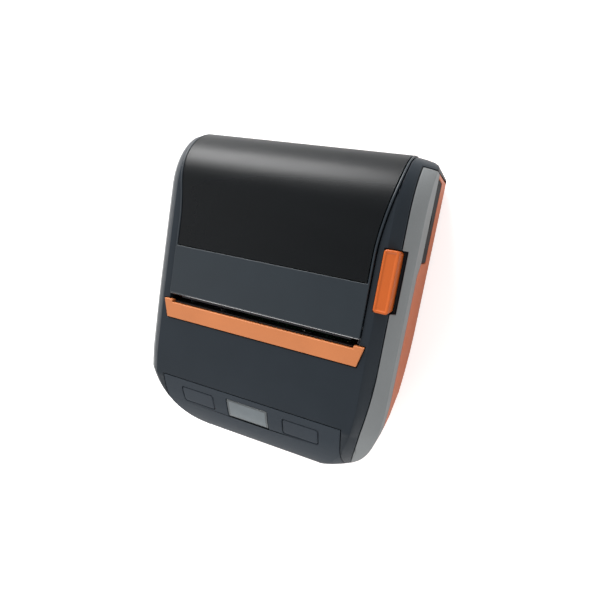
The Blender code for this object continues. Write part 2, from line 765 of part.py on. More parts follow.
def below_parting(shift):
    """Everything behind the parting line, which shift raises."""
    step_y = PORT_START_Y - GAP
    line = [
        (END_Y + OVERRUN, PARTING_END),
        (BAND_END_Y + shift, PARTING_END),
        (BAND_END_Y + shift, PARTING_PORT),
        (step_y, PARTING_PORT),
        (step_y - PARTING_STEP_LENGTH, PARTING_SIDE),
        (PARTING_NOSE_RISE_END - END_Y, PARTING_SIDE),
        (PARTING_NOSE_RISE_START - END_Y, NOSE_BOTTOM),
        (-END_Y - OVERRUN, NOSE_BOTTOM),
    ]
    outline = [(y, z + shift) for y, z in line]
    outline += [(-END_Y - OVERRUN, -OVERRUN), (END_Y + OVERRUN, -OVERRUN)]
    return prism("X", [outline], -HALF_WIDTH - OVERRUN, HALF_WIDTH + OVERRUN)


def above_parting(shift):
    below = below_parting(shift)
    whole = box(
        (-HALF_WIDTH - OVERRUN / 2, -END_Y - OVERRUN / 2, -OVERRUN / 2),
        (HALF_WIDTH + OVERRUN / 2, END_Y + OVERRUN / 2, COVER_TOP + OVERRUN),
    )
    return boolean(whole, below)


def band_edge(y):
    """Distance from the middle of a side band's edge on the front face."""
    share = (BAND_TAPER_START_Y - y) / (BAND_TAPER_START_Y - BAND_TAPER_END_Y)
    return BAND_EDGE_X - BAND_TAPER_WIDTH * min(1, max(0, share)) ** BAND_TAPER_POWER


def side_zone(side, clearance):
    """The region that a side band takes up in plan, made smaller by clearance."""
    outside = HALF_WIDTH + OVERRUN
    outline = [(outside, BAND_END_Y - clearance), (BAND_EDGE_X + clearance, BAND_END_Y - clearance)]
    for i in range(BAND_TAPER_STEPS + 1):
        y = BAND_TAPER_START_Y + (BAND_TAPER_END_Y - BAND_TAPER_START_Y) * i / BAND_TAPER_STEPS
        outline.append((band_edge(y) + clearance, y + clearance * i / BAND_TAPER_STEPS))
    tip_x = band_edge(BAND_TAPER_END_Y)
    tip_y = BAND_TAPER_END_Y - (outside - tip_x) * BAND_TIP_SLOPE_SHARE
    outline.append((outside, tip_y + clearance))
    outline = [(side * x, y) for x, y in outline]
    return prism("Z", [outline], -OVERRUN, COVER_TOP + OVERRUN)


def nose_notch():
    return box(
        (-NOTCH_HALF, -END_Y - OVERRUN, -OVERRUN),
        (NOTCH_HALF, -END_Y + NOTCH_DEPTH, NOTCH_TOP),
    )


# Paper cover outlines


def cover_half(y):
    share = min(1, max(0, (y - COVER_FLARE_START_Y) / COVER_FLARE_LENGTH))
    ease = (1 - math.cos(math.pi * share)) / 2
    return COVER_HALF_FRONT + (COVER_HALF_REAR - COVER_HALF_FRONT) * ease


def cover_plan(grow, start_y, end_y):
    """Plan outline of the cover, made wider by grow on each side."""
    places = [start_y]
    for i in range(FLARE_STEPS + 1):
        y = COVER_FLARE_START_Y + COVER_FLARE_LENGTH * i / FLARE_STEPS
        if start_y < y < end_y:
            places.append(y)
    places.append(end_y)
    right = [(cover_half(y) + grow, y) for y in places]
    return right + [(-x, y) for x, y in reversed(right)]


def cover_path(offset, arc_share=1.0):
    """Side view of the cover's rolled surface, from the start of the roll to its end."""
    points = []
    for i in range(COVER_ARC_STEPS + 1):
        angle = math.pi / 2 * arc_share * i / COVER_ARC_STEPS
        points.append(
            (
                ROLL_Y + (COVER_END_Y - ROLL_Y - offset) * math.sin(angle),
                ROLL_Z + (COVER_TOP - ROLL_Z - offset) * math.cos(angle),
            )
        )
    return points


def cover_band(start_y, outer, inner, arc_share):
    """A layer of the cover between two depths, from start_y round the roll."""
    upper = [(start_y, COVER_TOP - outer)] + cover_path(outer, arc_share)
    lower = [(start_y, COVER_TOP - inner)] + cover_path(inner, arc_share)
    return upper + lower[::-1]


def cover_profile():
    lip_y = COVER_FRONT_Y + LIP_LENGTH
    upper = [(COVER_FRONT_Y + LIP_CHAMFER, COVER_TOP)] + cover_path(0)
    lower = [(lip_y + LIP_CHAMFER, COVER_TOP - COVER_WALL)] + cover_path(COVER_WALL)
    lip = []
    for i in range(LIP_STEPS + 1):
        angle = math.pi / 2 * i / LIP_STEPS
        lip.append(
            (
                lip_y - LIP_LENGTH * math.sin(angle),
                COVER_TOP - LIP_CHAMFER - (LIP_DEPTH - LIP_CHAMFER) * math.cos(angle),
            )
        )
    return upper + lower[::-1] + lip


# Shells


def screw_places():
    return {
        "rear_right": (REAR_SCREW_X, REAR_SCREW_Y),
        "rear_left": (-REAR_SCREW_X, REAR_SCREW_Y),
        "front_right": (FRONT_SCREW_X, FRONT_SCREW_Y),
        "front_left": (-FRONT_SCREW_X, FRONT_SCREW_Y),
    }


def foot_places():
    return {
        "rear_right": (REAR_FOOT_X, REAR_FOOT_Y),
        "rear_left": (-REAR_FOOT_X, REAR_FOOT_Y),
        "front_right": (FRONT_FOOT_X, FRONT_FOOT_Y),
        "front_left": (-FRONT_FOOT_X, FRONT_FOOT_Y),
    }


def chin_matrix():
    """Frame of the keys: +Y up along the chin and +Z out of it, at the chin's surface."""
    out = Vector((0, KEY_Y - CHIN_CENTRE[0], face_height(KEY_Y) - CHIN_CENTRE[1])).normalized()
    across = Vector((1, 0, 0))
    along = out.cross(across)
    turn = Matrix((across, along, out)).transposed().to_4x4()
    return Matrix.Translation((0, KEY_Y, face_height(KEY_Y))) @ turn


def on_chin(obj):
    obj.data.transform(chin_matrix())
    return obj


def key_outline(centre_x, grow):
    return rounded_rectangle(
        (centre_x, 0), KEY_HALF - GAP + grow, KEY_HALF_HEIGHT - GAP + grow, KEY_CORNER
    )


def display_outline(grow):
    return rounded_rectangle(
        (0, 0), DISPLAY_HALF + grow, DISPLAY_HALF_HEIGHT + grow, KEY_CORNER / 2
    )


def chin_holes(grow):
    """Cutters for the two keys and the display, through the chin."""
    holes = [
        prism("Z", [key_outline(side * KEY_X, GAP + grow)], -OVERRUN, OVERRUN) for side in (-1, 1)
    ]
    holes.append(prism("Z", [display_outline(GAP + grow)], -OVERRUN, OVERRUN))
    return [on_chin(hole) for hole in holes]


def panel_zone(clearance):
    """The region of the chin panel, without its depth."""
    return box(
        (-PANEL_HALF - clearance, -END_Y - OVERRUN, PANEL_LOW_Z - clearance),
        (PANEL_HALF + clearance, CHIN_LINE_Y + clearance, COVER_TOP + OVERRUN),
    )


def tear_outline(grow, with_slot):
    right = [(TEAR_BOTTOM_HALF + grow, TEAR_BOTTOM_Y - grow), (TEAR_TOP_HALF + grow, TEAR_TOP_Y + grow)]
    if with_slot:
        right += [(SLOT_HALF, TEAR_TOP_Y + grow), (SLOT_HALF, SLOT_Y)]
    return right + [(-x, y) for x, y in reversed(right)]


def latch_pocket():
    """The hole for the latch button, with the room beside it that it slides into."""
    end_y = LATCH_START_Y + LATCH_LENGTH + GAP
    return box(
        (LATCH_X - GAP, LATCH_START_Y - GAP, LATCH_FLOOR_Z),
        (LATCH_END_X + LATCH_TRAVEL + GAP, end_y, COVER_TOP + OVERRUN),
    )


def latch_slots():
    """Slots for the latch's tail, through the pocket's floor, and its nub, through the rail."""
    tail = box(
        (LATCH_X - GAP, LATCH_Y - LATCH_TAIL_HALF - GAP, LATCH_FLOOR_Z - OVERRUN / 2),
        (
            LATCH_X + LATCH_TAIL_WALL + LATCH_TRAVEL + GAP,
            LATCH_Y + LATCH_TAIL_HALF + GAP,
            LATCH_FLOOR_Z + GAP,
        ),
    )
    top = LATCH_TOP - LATCH_NUB_DROP
    nub = box(
        (COVER_HALF_FRONT - GAP, LATCH_Y - LATCH_NUB_HALF - GAP, top - LATCH_NUB_WALL - GAP),
        (LATCH_X, LATCH_Y + LATCH_NUB_HALF + GAP, top + GAP),
    )
    return [tail, nub]


def latch_housing():
    margin = GAP + HOUSING_WALL
    housing = box(
        (LATCH_X - margin, LATCH_START_Y - margin, LATCH_FLOOR_Z - HOUSING_WALL),
        (HALF_WIDTH, LATCH_START_Y + LATCH_LENGTH + margin, FACE_HEIGHT - FRONT_WALL / 2),
    )
    return boolean(housing, form(BAND_WALL + GAP), "INTERSECT")


def hinge_bosses():
    bosses = []
    for side in (-1, 1):
        inner = COVER_HALF_REAR + GAP + GAP
        ends = sorted((side * inner, side * (inner + HINGE_BOSS_WIDTH)))
        boss = box(
            (ends[0], HINGE_Y - HINGE_BOSS_HALF, HINGE_Z - HINGE_BOSS_HALF),
            (ends[1], END_Y, HINGE_Z + HINGE_BOSS_HALF),
        )
        bosses.append(boolean(boss, form(BAND_WALL + GAP), "INTERSECT"))
    return bosses


def front_posts():
    posts = []
    for x, y in screw_places().values():
        post = cylinder("Z", (x, y), POST_RADIUS, POST_LOW_Z, FACE_HEIGHT, SMALL_SIDES)
        posts.append(boolean(post, form(BAND_WALL + GAP), "INTERSECT"))
    return posts


def front_shell():
    shell = form()
    for side in (-1, 1):
        boolean(shell, boolean(side_zone(side, 0), form(BAND_WALL + GAP)))
    combine(shell, [below_parting(GAP / 2), form(FRONT_WALL), nose_notch()])
    combine(shell, [latch_housing(), *hinge_bosses(), *front_posts()], "UNION")
    opening = cover_plan(GAP, THROAT_Y, END_Y + OVERRUN)
    boolean(shell, prism("Z", [opening], HINGE_REST_Z, COVER_TOP + OVERRUN))
    tear = prism(
        "Z", [tear_outline(GAP, False)], FACE_HEIGHT - TEAR_DEPTH - GAP, COVER_TOP + OVERRUN
    )
    boolean(shell, tear)
    panel = boolean(panel_zone(GAP), form(PANEL_WALL + GAP))
    combine(shell, [panel, *chin_holes(GAP), latch_pocket(), *latch_slots()])
    pin_end = COVER_HALF_REAR + HINGE_PIN_REACH + GAP
    radius = HINGE_PIN_RADIUS + GAP
    boolean(shell, cylinder("X", (HINGE_Y, HINGE_Z), radius, -pin_end, pin_end, SMALL_SIDES))
    for x, y in screw_places().values():
        reach = POST_LOW_Z + SCREW_REACH + GAP
        boolean(shell, cylinder("Z", (x, y), SCREW_RADIUS + GAP, 0, reach, SMALL_SIDES))
    finish(shell, "front_shell", "black_plastic")


def side_band(side, name):
    band = boolean(side_zone(side, GAP), below_parting(GAP / 2))
    if side > 0:
        boolean(band, latch_pocket())
    boolean(band, form(), "INTERSECT")
    boolean(band, form(BAND_WALL))
    finish(band, name, "grey_plastic")


def back_bosses():
    bosses = []
    for x, y in screw_places().values():
        boss = cylinder("Z", (x, y), BOSS_RADIUS, 0, POST_LOW_Z - GAP, SMALL_SIDES)
        bosses.append(boolean(boss, form(BACK_WALL / 2), "INTERSECT"))
    return bosses


def battery_bay():
    half = BATTERY_HALF + GAP + BAY_WALL
    start = BATTERY_START_Y - GAP - BAY_WALL
    end = BATTERY_END_Y + GAP + BAY_WALL
    top = FOOT_PROUD + BAY_HEIGHT
    return box((-half, start, FOOT_PROUD + BACK_WALL / 2), (half, end, top))


def battery_space():
    return prism(
        "Z",
        [
            rounded_rectangle(
                (0, (BATTERY_START_Y + BATTERY_END_Y) / 2),
                BATTERY_HALF + GAP,
                (BATTERY_END_Y - BATTERY_START_Y) / 2 + GAP,
                BATTERY_CORNER + GAP,
            )
        ],
        -OVERRUN,
        FOOT_PROUD + BAY_HEIGHT + OVERRUN,
    )


def slider_start():
    return BATTERY_END_Y + GAP + BAY_WALL + 2 * GAP


def slider_cutters():
    """The thumb slot through the back, and the tongue's window in the bay wall."""
    start = slider_start()
    slot = box(
        (-SLIDER_HALF - GAP, start - GAP, -OVERRUN),
        (SLIDER_HALF + GAP, start + SLIDER_LENGTH + SLIDER_TRAVEL + GAP, FOOT_PROUD + 2 * BACK_WALL),
    )
    floor = FOOT_PROUD + BACK_WALL + GAP / 2
    window = box(
        (-SLIDER_TONGUE_HALF - GAP, BATTERY_END_Y, floor),
        (SLIDER_TONGUE_HALF + GAP, start, floor + SLIDER_FLANGE_WALL + 2 * GAP),
    )
    return [slot, window]


def port_block():
    inner = PORT_FACE_X - PORT_BLOCK_WALL
    block = box(
        (inner, PORT_START_Y - PORT_BLOCK_MARGIN, FOOT_PROUD + BACK_WALL / 2),
        (HALF_WIDTH, BAND_END_Y - GAP, PARTING_PORT - GAP),
    )
    return boolean(block, form(LEAST_RADIUS), "INTERSECT")


def port_cutters():
    """The recess of the port cover and the two socket windows behind it."""
    face = PORT_FACE_X
    recess = box(
        (face, PORT_START_Y - GAP, PORT_LOW_Z - 2 * GAP),
        (HALF_WIDTH + OVERRUN, PORT_END_Y + GAP, PARTING_PORT + OVERRUN),
    )
    usb = box(
        (face - OVERRUN / 2, USB_Y - USB_HALF - GAP, USB_LOW_Z - GAP),
        (face + GAP, USB_Y + USB_HALF + GAP, USB_LOW_Z + USB_HEIGHT + GAP),
    )
    jack = box(
        (face - OVERRUN / 2, JACK_Y - JACK_HALF - GAP, JACK_LOW_Z - GAP),
        (face + GAP, JACK_Y + JACK_HALF + GAP, JACK_LOW_Z + 2 * JACK_HALF + GAP),
    )
    return [recess, usb, jack]


def screw_head_z():
    return FOOT_PROUD + SCREW_HEAD_SUNK


def back_shell():
    shell = boolean(form(), above_parting(-GAP / 2))
    boolean(shell, form(BACK_WALL))
    boolean(shell, nose_notch())
    combine(shell, [battery_bay(), *back_bosses(), port_block()], "UNION")
    combine(shell, [battery_space(), *slider_cutters(), *port_cutters()])
    for x, y in foot_places().values():
        top = FOOT_PROUD + FOOT_RECESS
        boolean(shell, cylinder("Z", (x, y), FOOT_RADIUS + GAP, -OVERRUN, top))
    for x, y in screw_places().values():
        head_top = screw_head_z() + SCREW_HEAD_HEIGHT + GAP
        radius = SCREW_HEAD_RADIUS + GAP
        boolean(shell, cylinder("Z", (x, y), radius, -OVERRUN, head_top, SMALL_SIDES))
        boolean(shell, cylinder("Z", (x, y), SCREW_RADIUS + GAP, 0, POST_LOW_Z + GAP, SMALL_SIDES))
    finish(shell, "back_shell", "orange_plastic")


def chin_panel():
    panel = boolean(form(), form(PANEL_WALL))
    boolean(panel, panel_zone(0), "INTERSECT")
    combine(panel, [nose_notch(), *chin_holes(0)])
    finish(panel, "chin_panel", "panel_plastic")


def keys():
    for side, name in ((-1, "power_button"), (1, "feed_button")):
        key = on_chin(prism("Z", [key_outline(side * KEY_X, 0)], -KEY_DEPTH, OVERRUN))
        boolean(key, form(), "INTERSECT")
        origin = chin_matrix() @ Vector((side * KEY_X, 0, 0))
        finish(key, name, "key_plastic", origin)


def display():
    window = on_chin(
        prism("Z", [display_outline(0)], -DISPLAY_SUNK - DISPLAY_WALL, OVERRUN)
    )
    boolean(window, form(DISPLAY_SUNK), "INTERSECT")
    finish(window, "display_window", "display_glass")
    top = -DISPLAY_SUNK - DISPLAY_WALL - GAP
    module = box(
        (-DISPLAY_HALF + MODULE_MARGIN, -DISPLAY_HALF_HEIGHT + MODULE_MARGIN, top - MODULE_WALL),
        (DISPLAY_HALF - MODULE_MARGIN, DISPLAY_HALF_HEIGHT - MODULE_MARGIN, top),
    )
    finish(on_chin(module), "display_module", "display_frame")


def key_board_top():
    return -DISPLAY_SUNK - DISPLAY_WALL - GAP - MODULE_WALL - GAP


def key_board():
    top = key_board_top()
    board = box(
        (-KEY_BOARD_HALF, -KEY_BOARD_HALF_HEIGHT, top - BOARD_WALL),
        (KEY_BOARD_HALF, KEY_BOARD_HALF_HEIGHT, top),
    )
    finish(on_chin(board), "key_board", "board_green")
    for side, name in ((-1, "power_switch"), (1, "feed_switch")):
        tip = -KEY_DEPTH - KEY_TRAVEL - GAP
        x = side * KEY_X
        switch = box(
            (x - SWITCH_HALF, -SWITCH_HALF, top + GAP),
            (x + SWITCH_HALF, SWITCH_HALF, tip - SWITCH_TIP_HEIGHT),
        )
        plunger = cylinder("Z", (x, 0), SWITCH_TIP_HALF, top + 2 * GAP, tip, SMALL_SIDES)
        boolean(switch, plunger, "UNION")
        finish(on_chin(settle(switch)), name, "switch_plastic")


# Tear bar


def tear_bar():
    bar = prism("Z", [tear_outline(0, True)], FACE_HEIGHT - TEAR_DEPTH, COVER_TOP + OVERRUN)
    slope = [
        (TEAR_TOP_Y + OVERRUN, 0),
        (TEAR_TOP_Y + OVERRUN, FACE_HEIGHT + TEAR_TOP_PROUD),
        (TEAR_TOP_Y, FACE_HEIGHT + TEAR_TOP_PROUD),
        (TEAR_BOTTOM_Y, FACE_HEIGHT + TEAR_BOTTOM_PROUD),
        (TEAR_BOTTOM_Y - OVERRUN, FACE_HEIGHT + TEAR_BOTTOM_PROUD),
        (TEAR_BOTTOM_Y - OVERRUN, 0),
    ]
    boolean(bar, prism("X", [slope], -HALF_WIDTH, HALF_WIDTH), "INTERSECT")
    finish(bar, "tear_bar", "orange_plastic")


def tear_blade():
    half = SLOT_HALF - 2 * GAP
    top = FACE_HEIGHT - BLADE_TOP_DROP
    outline = [(half, top - BLADE_HEIGHT)]
    for i in range(BLADE_TEETH + 1):
        x = half - 2 * half * i / BLADE_TEETH
        outline.append((x, top - BLADE_TOOTH_DEPTH))
        if i < BLADE_TEETH:
            outline.append((x - half / BLADE_TEETH, top))
    outline.append((-half, top - BLADE_HEIGHT))
    blade = prism("Y", [outline], SLOT_Y + GAP, SLOT_Y + GAP + BLADE_WALL)
    finish(blade, "tear_blade", "blade_steel")


# Cover assembly


def cheeks():
    """Side cheeks under the cover, which hold the platen's bushes."""
    low = PLATEN_Z - CHEEK_DROP
    outline = [
        (PLATEN_Y - CHEEK_HALF, COVER_TOP - COVER_WALL / 2),
        (PLATEN_Y - CHEEK_HALF, low + CHEEK_CHAMFER),
        (PLATEN_Y - CHEEK_HALF + CHEEK_CHAMFER, low),
        (PLATEN_Y + CHEEK_HALF - CHEEK_CHAMFER, low),
        (PLATEN_Y + CHEEK_HALF, low + CHEEK_CHAMFER),
        (PLATEN_Y + CHEEK_HALF, COVER_TOP - COVER_WALL / 2),
    ]
    found = []
    for side in (-1, 1):
        ends = sorted((side * CHEEK_X, side * CHEEK_END_X))
        found.append(prism("X", [outline], *ends))
    return found


def cover_catch():
    """A tab under the cover's edge, which faces the latch's nub."""
    outside = COVER_HALF_FRONT - CATCH_INSET
    return box(
        (outside - CATCH_WALL, LATCH_Y - CATCH_HALF, COVER_TOP - CATCH_LENGTH),
        (outside, LATCH_Y + CATCH_HALF, COVER_TOP - COVER_WALL / 2),
    )


def catch_window():
    top = LATCH_TOP - LATCH_NUB_DROP + GAP
    inside = COVER_HALF_FRONT - CATCH_INSET - CATCH_WALL
    return box(
        (inside - GAP, LATCH_Y - LATCH_NUB_HALF - GAP, top - LATCH_NUB_WALL - 2 * GAP),
        (COVER_HALF_FRONT, LATCH_Y + LATCH_NUB_HALF + GAP, top),
    )


def cover_slab():
    half = COVER_HALF_REAR + OVERRUN
    slab = prism("X", [cover_profile()], -half, half)
    knuckle = cylinder("X", (HINGE_Y, HINGE_Z), KNUCKLE_RADIUS, -half, half, ROUND_SIDES)
    boolean(slab, knuckle, "UNION")
    plan = cover_plan(0, COVER_FRONT_Y - OVERRUN, END_Y + OVERRUN)
    boolean(slab, prism("Z", [plan], -OVERRUN, COVER_TOP + OVERRUN), "INTERSECT")
    return slab


def window_layer(start_y, outer, inner, margin, arc_share):
    half = COVER_HALF_REAR + OVERRUN
    layer = prism("X", [cover_band(start_y, outer, inner, arc_share)], -half, half)
    plan = cover_plan(-margin, start_y - OVERRUN, END_Y + OVERRUN)
    return boolean(layer, prism("Z", [plan], 0, COVER_TOP + OVERRUN), "INTERSECT")


def paper_cover():
    cover = combine(cover_slab(), [*cheeks(), cover_catch()], "UNION")
    arc_clearance = GAP / (COVER_TOP - ROLL_Z)
    pocket = window_layer(
        WINDOW_Y - GAP,
        -GAP,
        WINDOW_WALL + GAP,
        WINDOW_MARGIN - GAP,
        WINDOW_ARC_SHARE + arc_clearance,
    )
    sight = box(
        (-SIGHT_HALF, SIGHT_START_Y, ROLL_Z),
        (SIGHT_HALF, SIGHT_END_Y, COVER_TOP + OVERRUN),
    )
    bore = cylinder(
        "X", (HINGE_Y, HINGE_Z), HINGE_PIN_RADIUS + GAP, -HALF_WIDTH, HALF_WIDTH, SMALL_SIDES
    )
    bush_hole = cylinder(
        "X",
        (PLATEN_Y, PLATEN_Z),
        SHAFT_RADIUS + BUSH_WALL + 2 * GAP,
        -CHEEK_END_X - GAP,
        CHEEK_END_X + GAP,
    )
    combine(cover, [pocket, sight, bore, bush_hole, catch_window()])
    finish(cover, "paper_cover", "cover_plastic", (0, HINGE_Y, HINGE_Z))


def cover_window():
    window = window_layer(WINDOW_Y, 0, WINDOW_WALL, WINDOW_MARGIN, WINDOW_ARC_SHARE)
    finish(window, "cover_window", "smoked_window", (0, HINGE_Y, HINGE_Z))


def hinge_pin():
    end = COVER_HALF_REAR + HINGE_PIN_REACH
    pin = cylinder("X", (HINGE_Y, HINGE_Z), HINGE_PIN_RADIUS, -end, end, SMALL_SIDES)
    finish(pin, "hinge_pin", "steel", smooth=True)


def platen():
    axis = (PLATEN_Y, PLATEN_Z)
    origin = (0, PLATEN_Y, PLATEN_Z)
    bore = SHAFT_RADIUS + GAP
    roller = cylinder("X", axis, PLATEN_RADIUS, -PLATEN_HALF, PLATEN_HALF)
    boolean(roller, cylinder("X", axis, bore, -HALF_WIDTH, HALF_WIDTH, SMALL_SIDES))
    finish(roller, "platen_roller", "rubber", origin, smooth=True)
    shaft = cylinder("X", axis, SHAFT_RADIUS, -GEAR_END_X, CHEEK_END_X, SMALL_SIDES)
    finish(shaft, "platen_shaft", "steel", origin, smooth=True)
    for side, name in ((-1, "platen_bush_left"), (1, "platen_bush_right")):
        ends = sorted((side * CHEEK_X, side * CHEEK_END_X))
        bush = cylinder("X", axis, bore + BUSH_WALL, *ends)
        boolean(bush, cylinder("X", axis, bore, -HALF_WIDTH, HALF_WIDTH, SMALL_SIDES))
        finish(bush, name, "bush_plastic", smooth=True)


# Gears


def involute(angle):
    return math.tan(angle) - angle


def tooth_half_angle(radius, teeth):
    pitch = GEAR_MODULE * teeth / 2
    base = pitch * math.cos(PRESSURE_ANGLE)
    here = math.acos(min(1, base / max(radius, base)))
    thinning = BACKLASH / (2 * pitch)
    return math.pi / (2 * teeth) - thinning + involute(PRESSURE_ANGLE) - involute(here)


def gear_outline(teeth, phase):
    """Outline of a spur gear in (y, z), about its own centre, with a tooth at angle phase."""
    pitch = GEAR_MODULE * teeth / 2
    radii = (pitch - GEAR_MODULE - ROOT_CLEARANCE, pitch, pitch + GEAR_MODULE)
    outline = []
    for tooth in range(teeth):
        middle = phase + 2 * math.pi * tooth / teeth
        flank = [(radius, tooth_half_angle(radius, teeth)) for radius in radii]
        for radius, half in flank:
            outline.append((radius * math.cos(middle - half), radius * math.sin(middle - half)))
        for radius, half in reversed(flank):
            outline.append((radius * math.cos(middle + half), radius * math.sin(middle + half)))
    return outline


def gear_solid(centre, teeth, phase, bore):
    outline = [(centre[0] + y, centre[1] + z) for y, z in gear_outline(teeth, phase)]
    loops = [outline]
    if bore:
        hole = []
        for i in range(SMALL_SIDES):
            angle = -2 * math.pi * i / SMALL_SIDES
            hole.append((centre[0] + bore * math.cos(angle), centre[1] + bore * math.sin(angle)))
        loops.append(hole)
    return prism("X", loops, -GEAR_END_X, -GEAR_X)


def centre_distance(first, second):
    return GEAR_MODULE * (first + second) / 2 + GEAR_SPREAD


def idler_centre():
    reach = centre_distance(PLATEN_TEETH, IDLER_TEETH)
    return (
        PLATEN_Y + reach * math.cos(IDLER_DIRECTION),
        PLATEN_Z + reach * math.sin(IDLER_DIRECTION),
    )


def pinion_centre():
    reach = centre_distance(IDLER_TEETH, PINION_TEETH)
    centre = idler_centre()
    return (
        centre[0] + reach * math.cos(PINION_DIRECTION),
        centre[1] + reach * math.sin(PINION_DIRECTION),
    )


def gears():
    bore = SHAFT_RADIUS + GAP
    platen_gear = gear_solid((PLATEN_Y, PLATEN_Z), PLATEN_TEETH, IDLER_DIRECTION, bore)
    finish(platen_gear, "platen_gear", "gear_plastic", (0, PLATEN_Y, PLATEN_Z))
    idler_phase = IDLER_DIRECTION + math.pi + math.pi / IDLER_TEETH
    centre = idler_centre()
    idler = gear_solid(centre, IDLER_TEETH, idler_phase, bore)
    finish(idler, "idler_gear", "gear_plastic", (0, *centre))
    lag = (PINION_DIRECTION - idler_phase) % (2 * math.pi / IDLER_TEETH)
    pinion_phase = (
        PINION_DIRECTION + math.pi + math.pi / PINION_TEETH + lag * IDLER_TEETH / PINION_TEETH
    )
    centre = pinion_centre()
    bore = MOTOR_SHAFT_RADIUS + GAP
    pinion = gear_solid(centre, PINION_TEETH, pinion_phase, bore)
    finish(pinion, "motor_pinion", "gear_plastic", (0, *centre))


def idler_pin():
    """A headed pin through the frame, which the idler runs on."""
    centre = idler_centre()
    outside = -GEAR_END_X - GAP
    pin = cylinder("X", centre, SHAFT_RADIUS, outside - PIN_HEAD_WALL, -CHEEK_X, SMALL_SIDES)
    head = cylinder("X", centre, PIN_HEAD_RADIUS, outside - PIN_HEAD_WALL, outside, SMALL_SIDES)
    boolean(pin, head, "UNION")
    finish(pin, "idler_pin", "steel")


def motor():
    centre = pinion_centre()
    face = GAP - CHEEK_X
    body = cylinder("X", centre, MOTOR_RADIUS, face, face + MOTOR_LENGTH)
    bore_end = face + MOTOR_BORE_DEPTH + GAP
    bore = MOTOR_SHAFT_RADIUS + GAP
    boolean(body, cylinder("X", centre, bore, -HALF_WIDTH, bore_end, SMALL_SIDES))
    finish(body, "stepper_motor", "motor_metal", smooth=True)
    shaft = cylinder(
        "X", centre, MOTOR_SHAFT_RADIUS, -GEAR_END_X, face + MOTOR_BORE_DEPTH, SMALL_SIDES
    )
    finish(shaft, "motor_shaft", "steel", (0, *centre), smooth=True)


# Print mechanism


def mech_frame():
    front_top = face_height(FRAME_FRONT_Y) - FRONT_WALL - FRAME_FACE_CLEARANCE
    side_top = PLATEN_Z - CHEEK_DROP - GAP
    right = [
        (CHEEK_END_X, FRAME_FRONT_Y),
        (CHEEK_END_X, FRAME_REAR_Y),
        (CHEEK_X, FRAME_REAR_Y),
        (CHEEK_X, FRAME_FRONT_Y + FRAME_FRONT_WALL),
    ]
    plan = right + [(-x, y) for x, y in reversed(right)]
    frame = prism("Z", [plan], FRAME_LOW_Z, front_top)
    step = box(
        (-HALF_WIDTH, FRAME_FRONT_Y + FRAME_STEP_LENGTH, side_top), (HALF_WIDTH, END_Y, COVER_TOP)
    )
    boolean(frame, step)
    holes = ((idler_centre(), SHAFT_RADIUS + GAP), (pinion_centre(), MOTOR_SHAFT_RADIUS + 2 * GAP))
    for centre, radius in holes:
        boolean(frame, cylinder("X", centre, radius, -GEAR_X, -PLATEN_HALF, SMALL_SIDES))
    finish(frame, "mech_frame", "frame_metal")


def print_head():
    face = PLATEN_Y - PLATEN_RADIUS - GAP
    head = box(
        (-PLATEN_HALF, face - HEAD_WALL, PLATEN_Z - HEAD_HALF_HEIGHT),
        (PLATEN_HALF, face, PLATEN_Z + HEAD_HALF_HEIGHT),
    )
    finish(head, "thermal_head", "ceramic")
    back = face - HEAD_WALL - GAP - HEATSINK_WALL
    top = COVER_TOP - HEATSINK_TOP_DROP
    sink = box(
        (-PLATEN_HALF, back, top - HEATSINK_HEIGHT), (PLATEN_HALF, back + HEATSINK_WALL, top)
    )
    finish(sink, "head_heatsink", "aluminium")
    start = FRAME_FRONT_Y + FRAME_FRONT_WALL + GAP
    middle = top - HEATSINK_HEIGHT / 2
    for side, name in ((-1, "head_spring_left"), (1, "head_spring_right")):
        spring = coil(
            (side * HEAD_SPRING_X, start, middle),
            back - GAP - start,
            "Y",
            HEAD_SPRING_RADIUS,
            HEAD_SPRING_WIRE,
            HEAD_SPRING_TURNS,
        )
        finish(spring, name, "steel")


# Paper bin


def bin_outline(radius):
    """Side view of the bin's tub, with its front wall standing higher than its rear wall."""
    centre_z = BIN_LOW_Z + BIN_RADIUS
    outline = [(BIN_Y - radius, BIN_FRONT_TOP)]
    for i in range(BIN_STEPS + 1):
        angle = math.pi * (1 + i / BIN_STEPS)
        outline.append((BIN_Y + radius * math.cos(angle), centre_z + radius * math.sin(angle)))
    outline.append((BIN_Y + radius, BIN_REAR_TOP))
    return outline


def paper_bin():
    outside = BIN_HALF + BIN_WALL
    tub = prism("X", [bin_outline(BIN_RADIUS + BIN_WALL)], -outside, outside)
    hollow = bin_outline(BIN_RADIUS)
    hollow[0] = (hollow[0][0], BIN_FRONT_TOP + OVERRUN)
    hollow[-1] = (hollow[-1][0], BIN_REAR_TOP + OVERRUN)
    boolean(tub, prism("X", [hollow], -BIN_HALF, BIN_HALF))
    finish(tub, "paper_bin", "bin_plastic", smooth=True)
    front = BIN_Y - BIN_RADIUS - BIN_WALL - GAP
    top = BIN_FRONT_TOP - SENSOR_DROP
    sensor = box((-SENSOR_HALF, front - SENSOR_WALL, top - SENSOR_HEIGHT), (SENSOR_HALF, front, top))
    finish(sensor, "paper_sensor", "connector_plastic")


# Cover latch


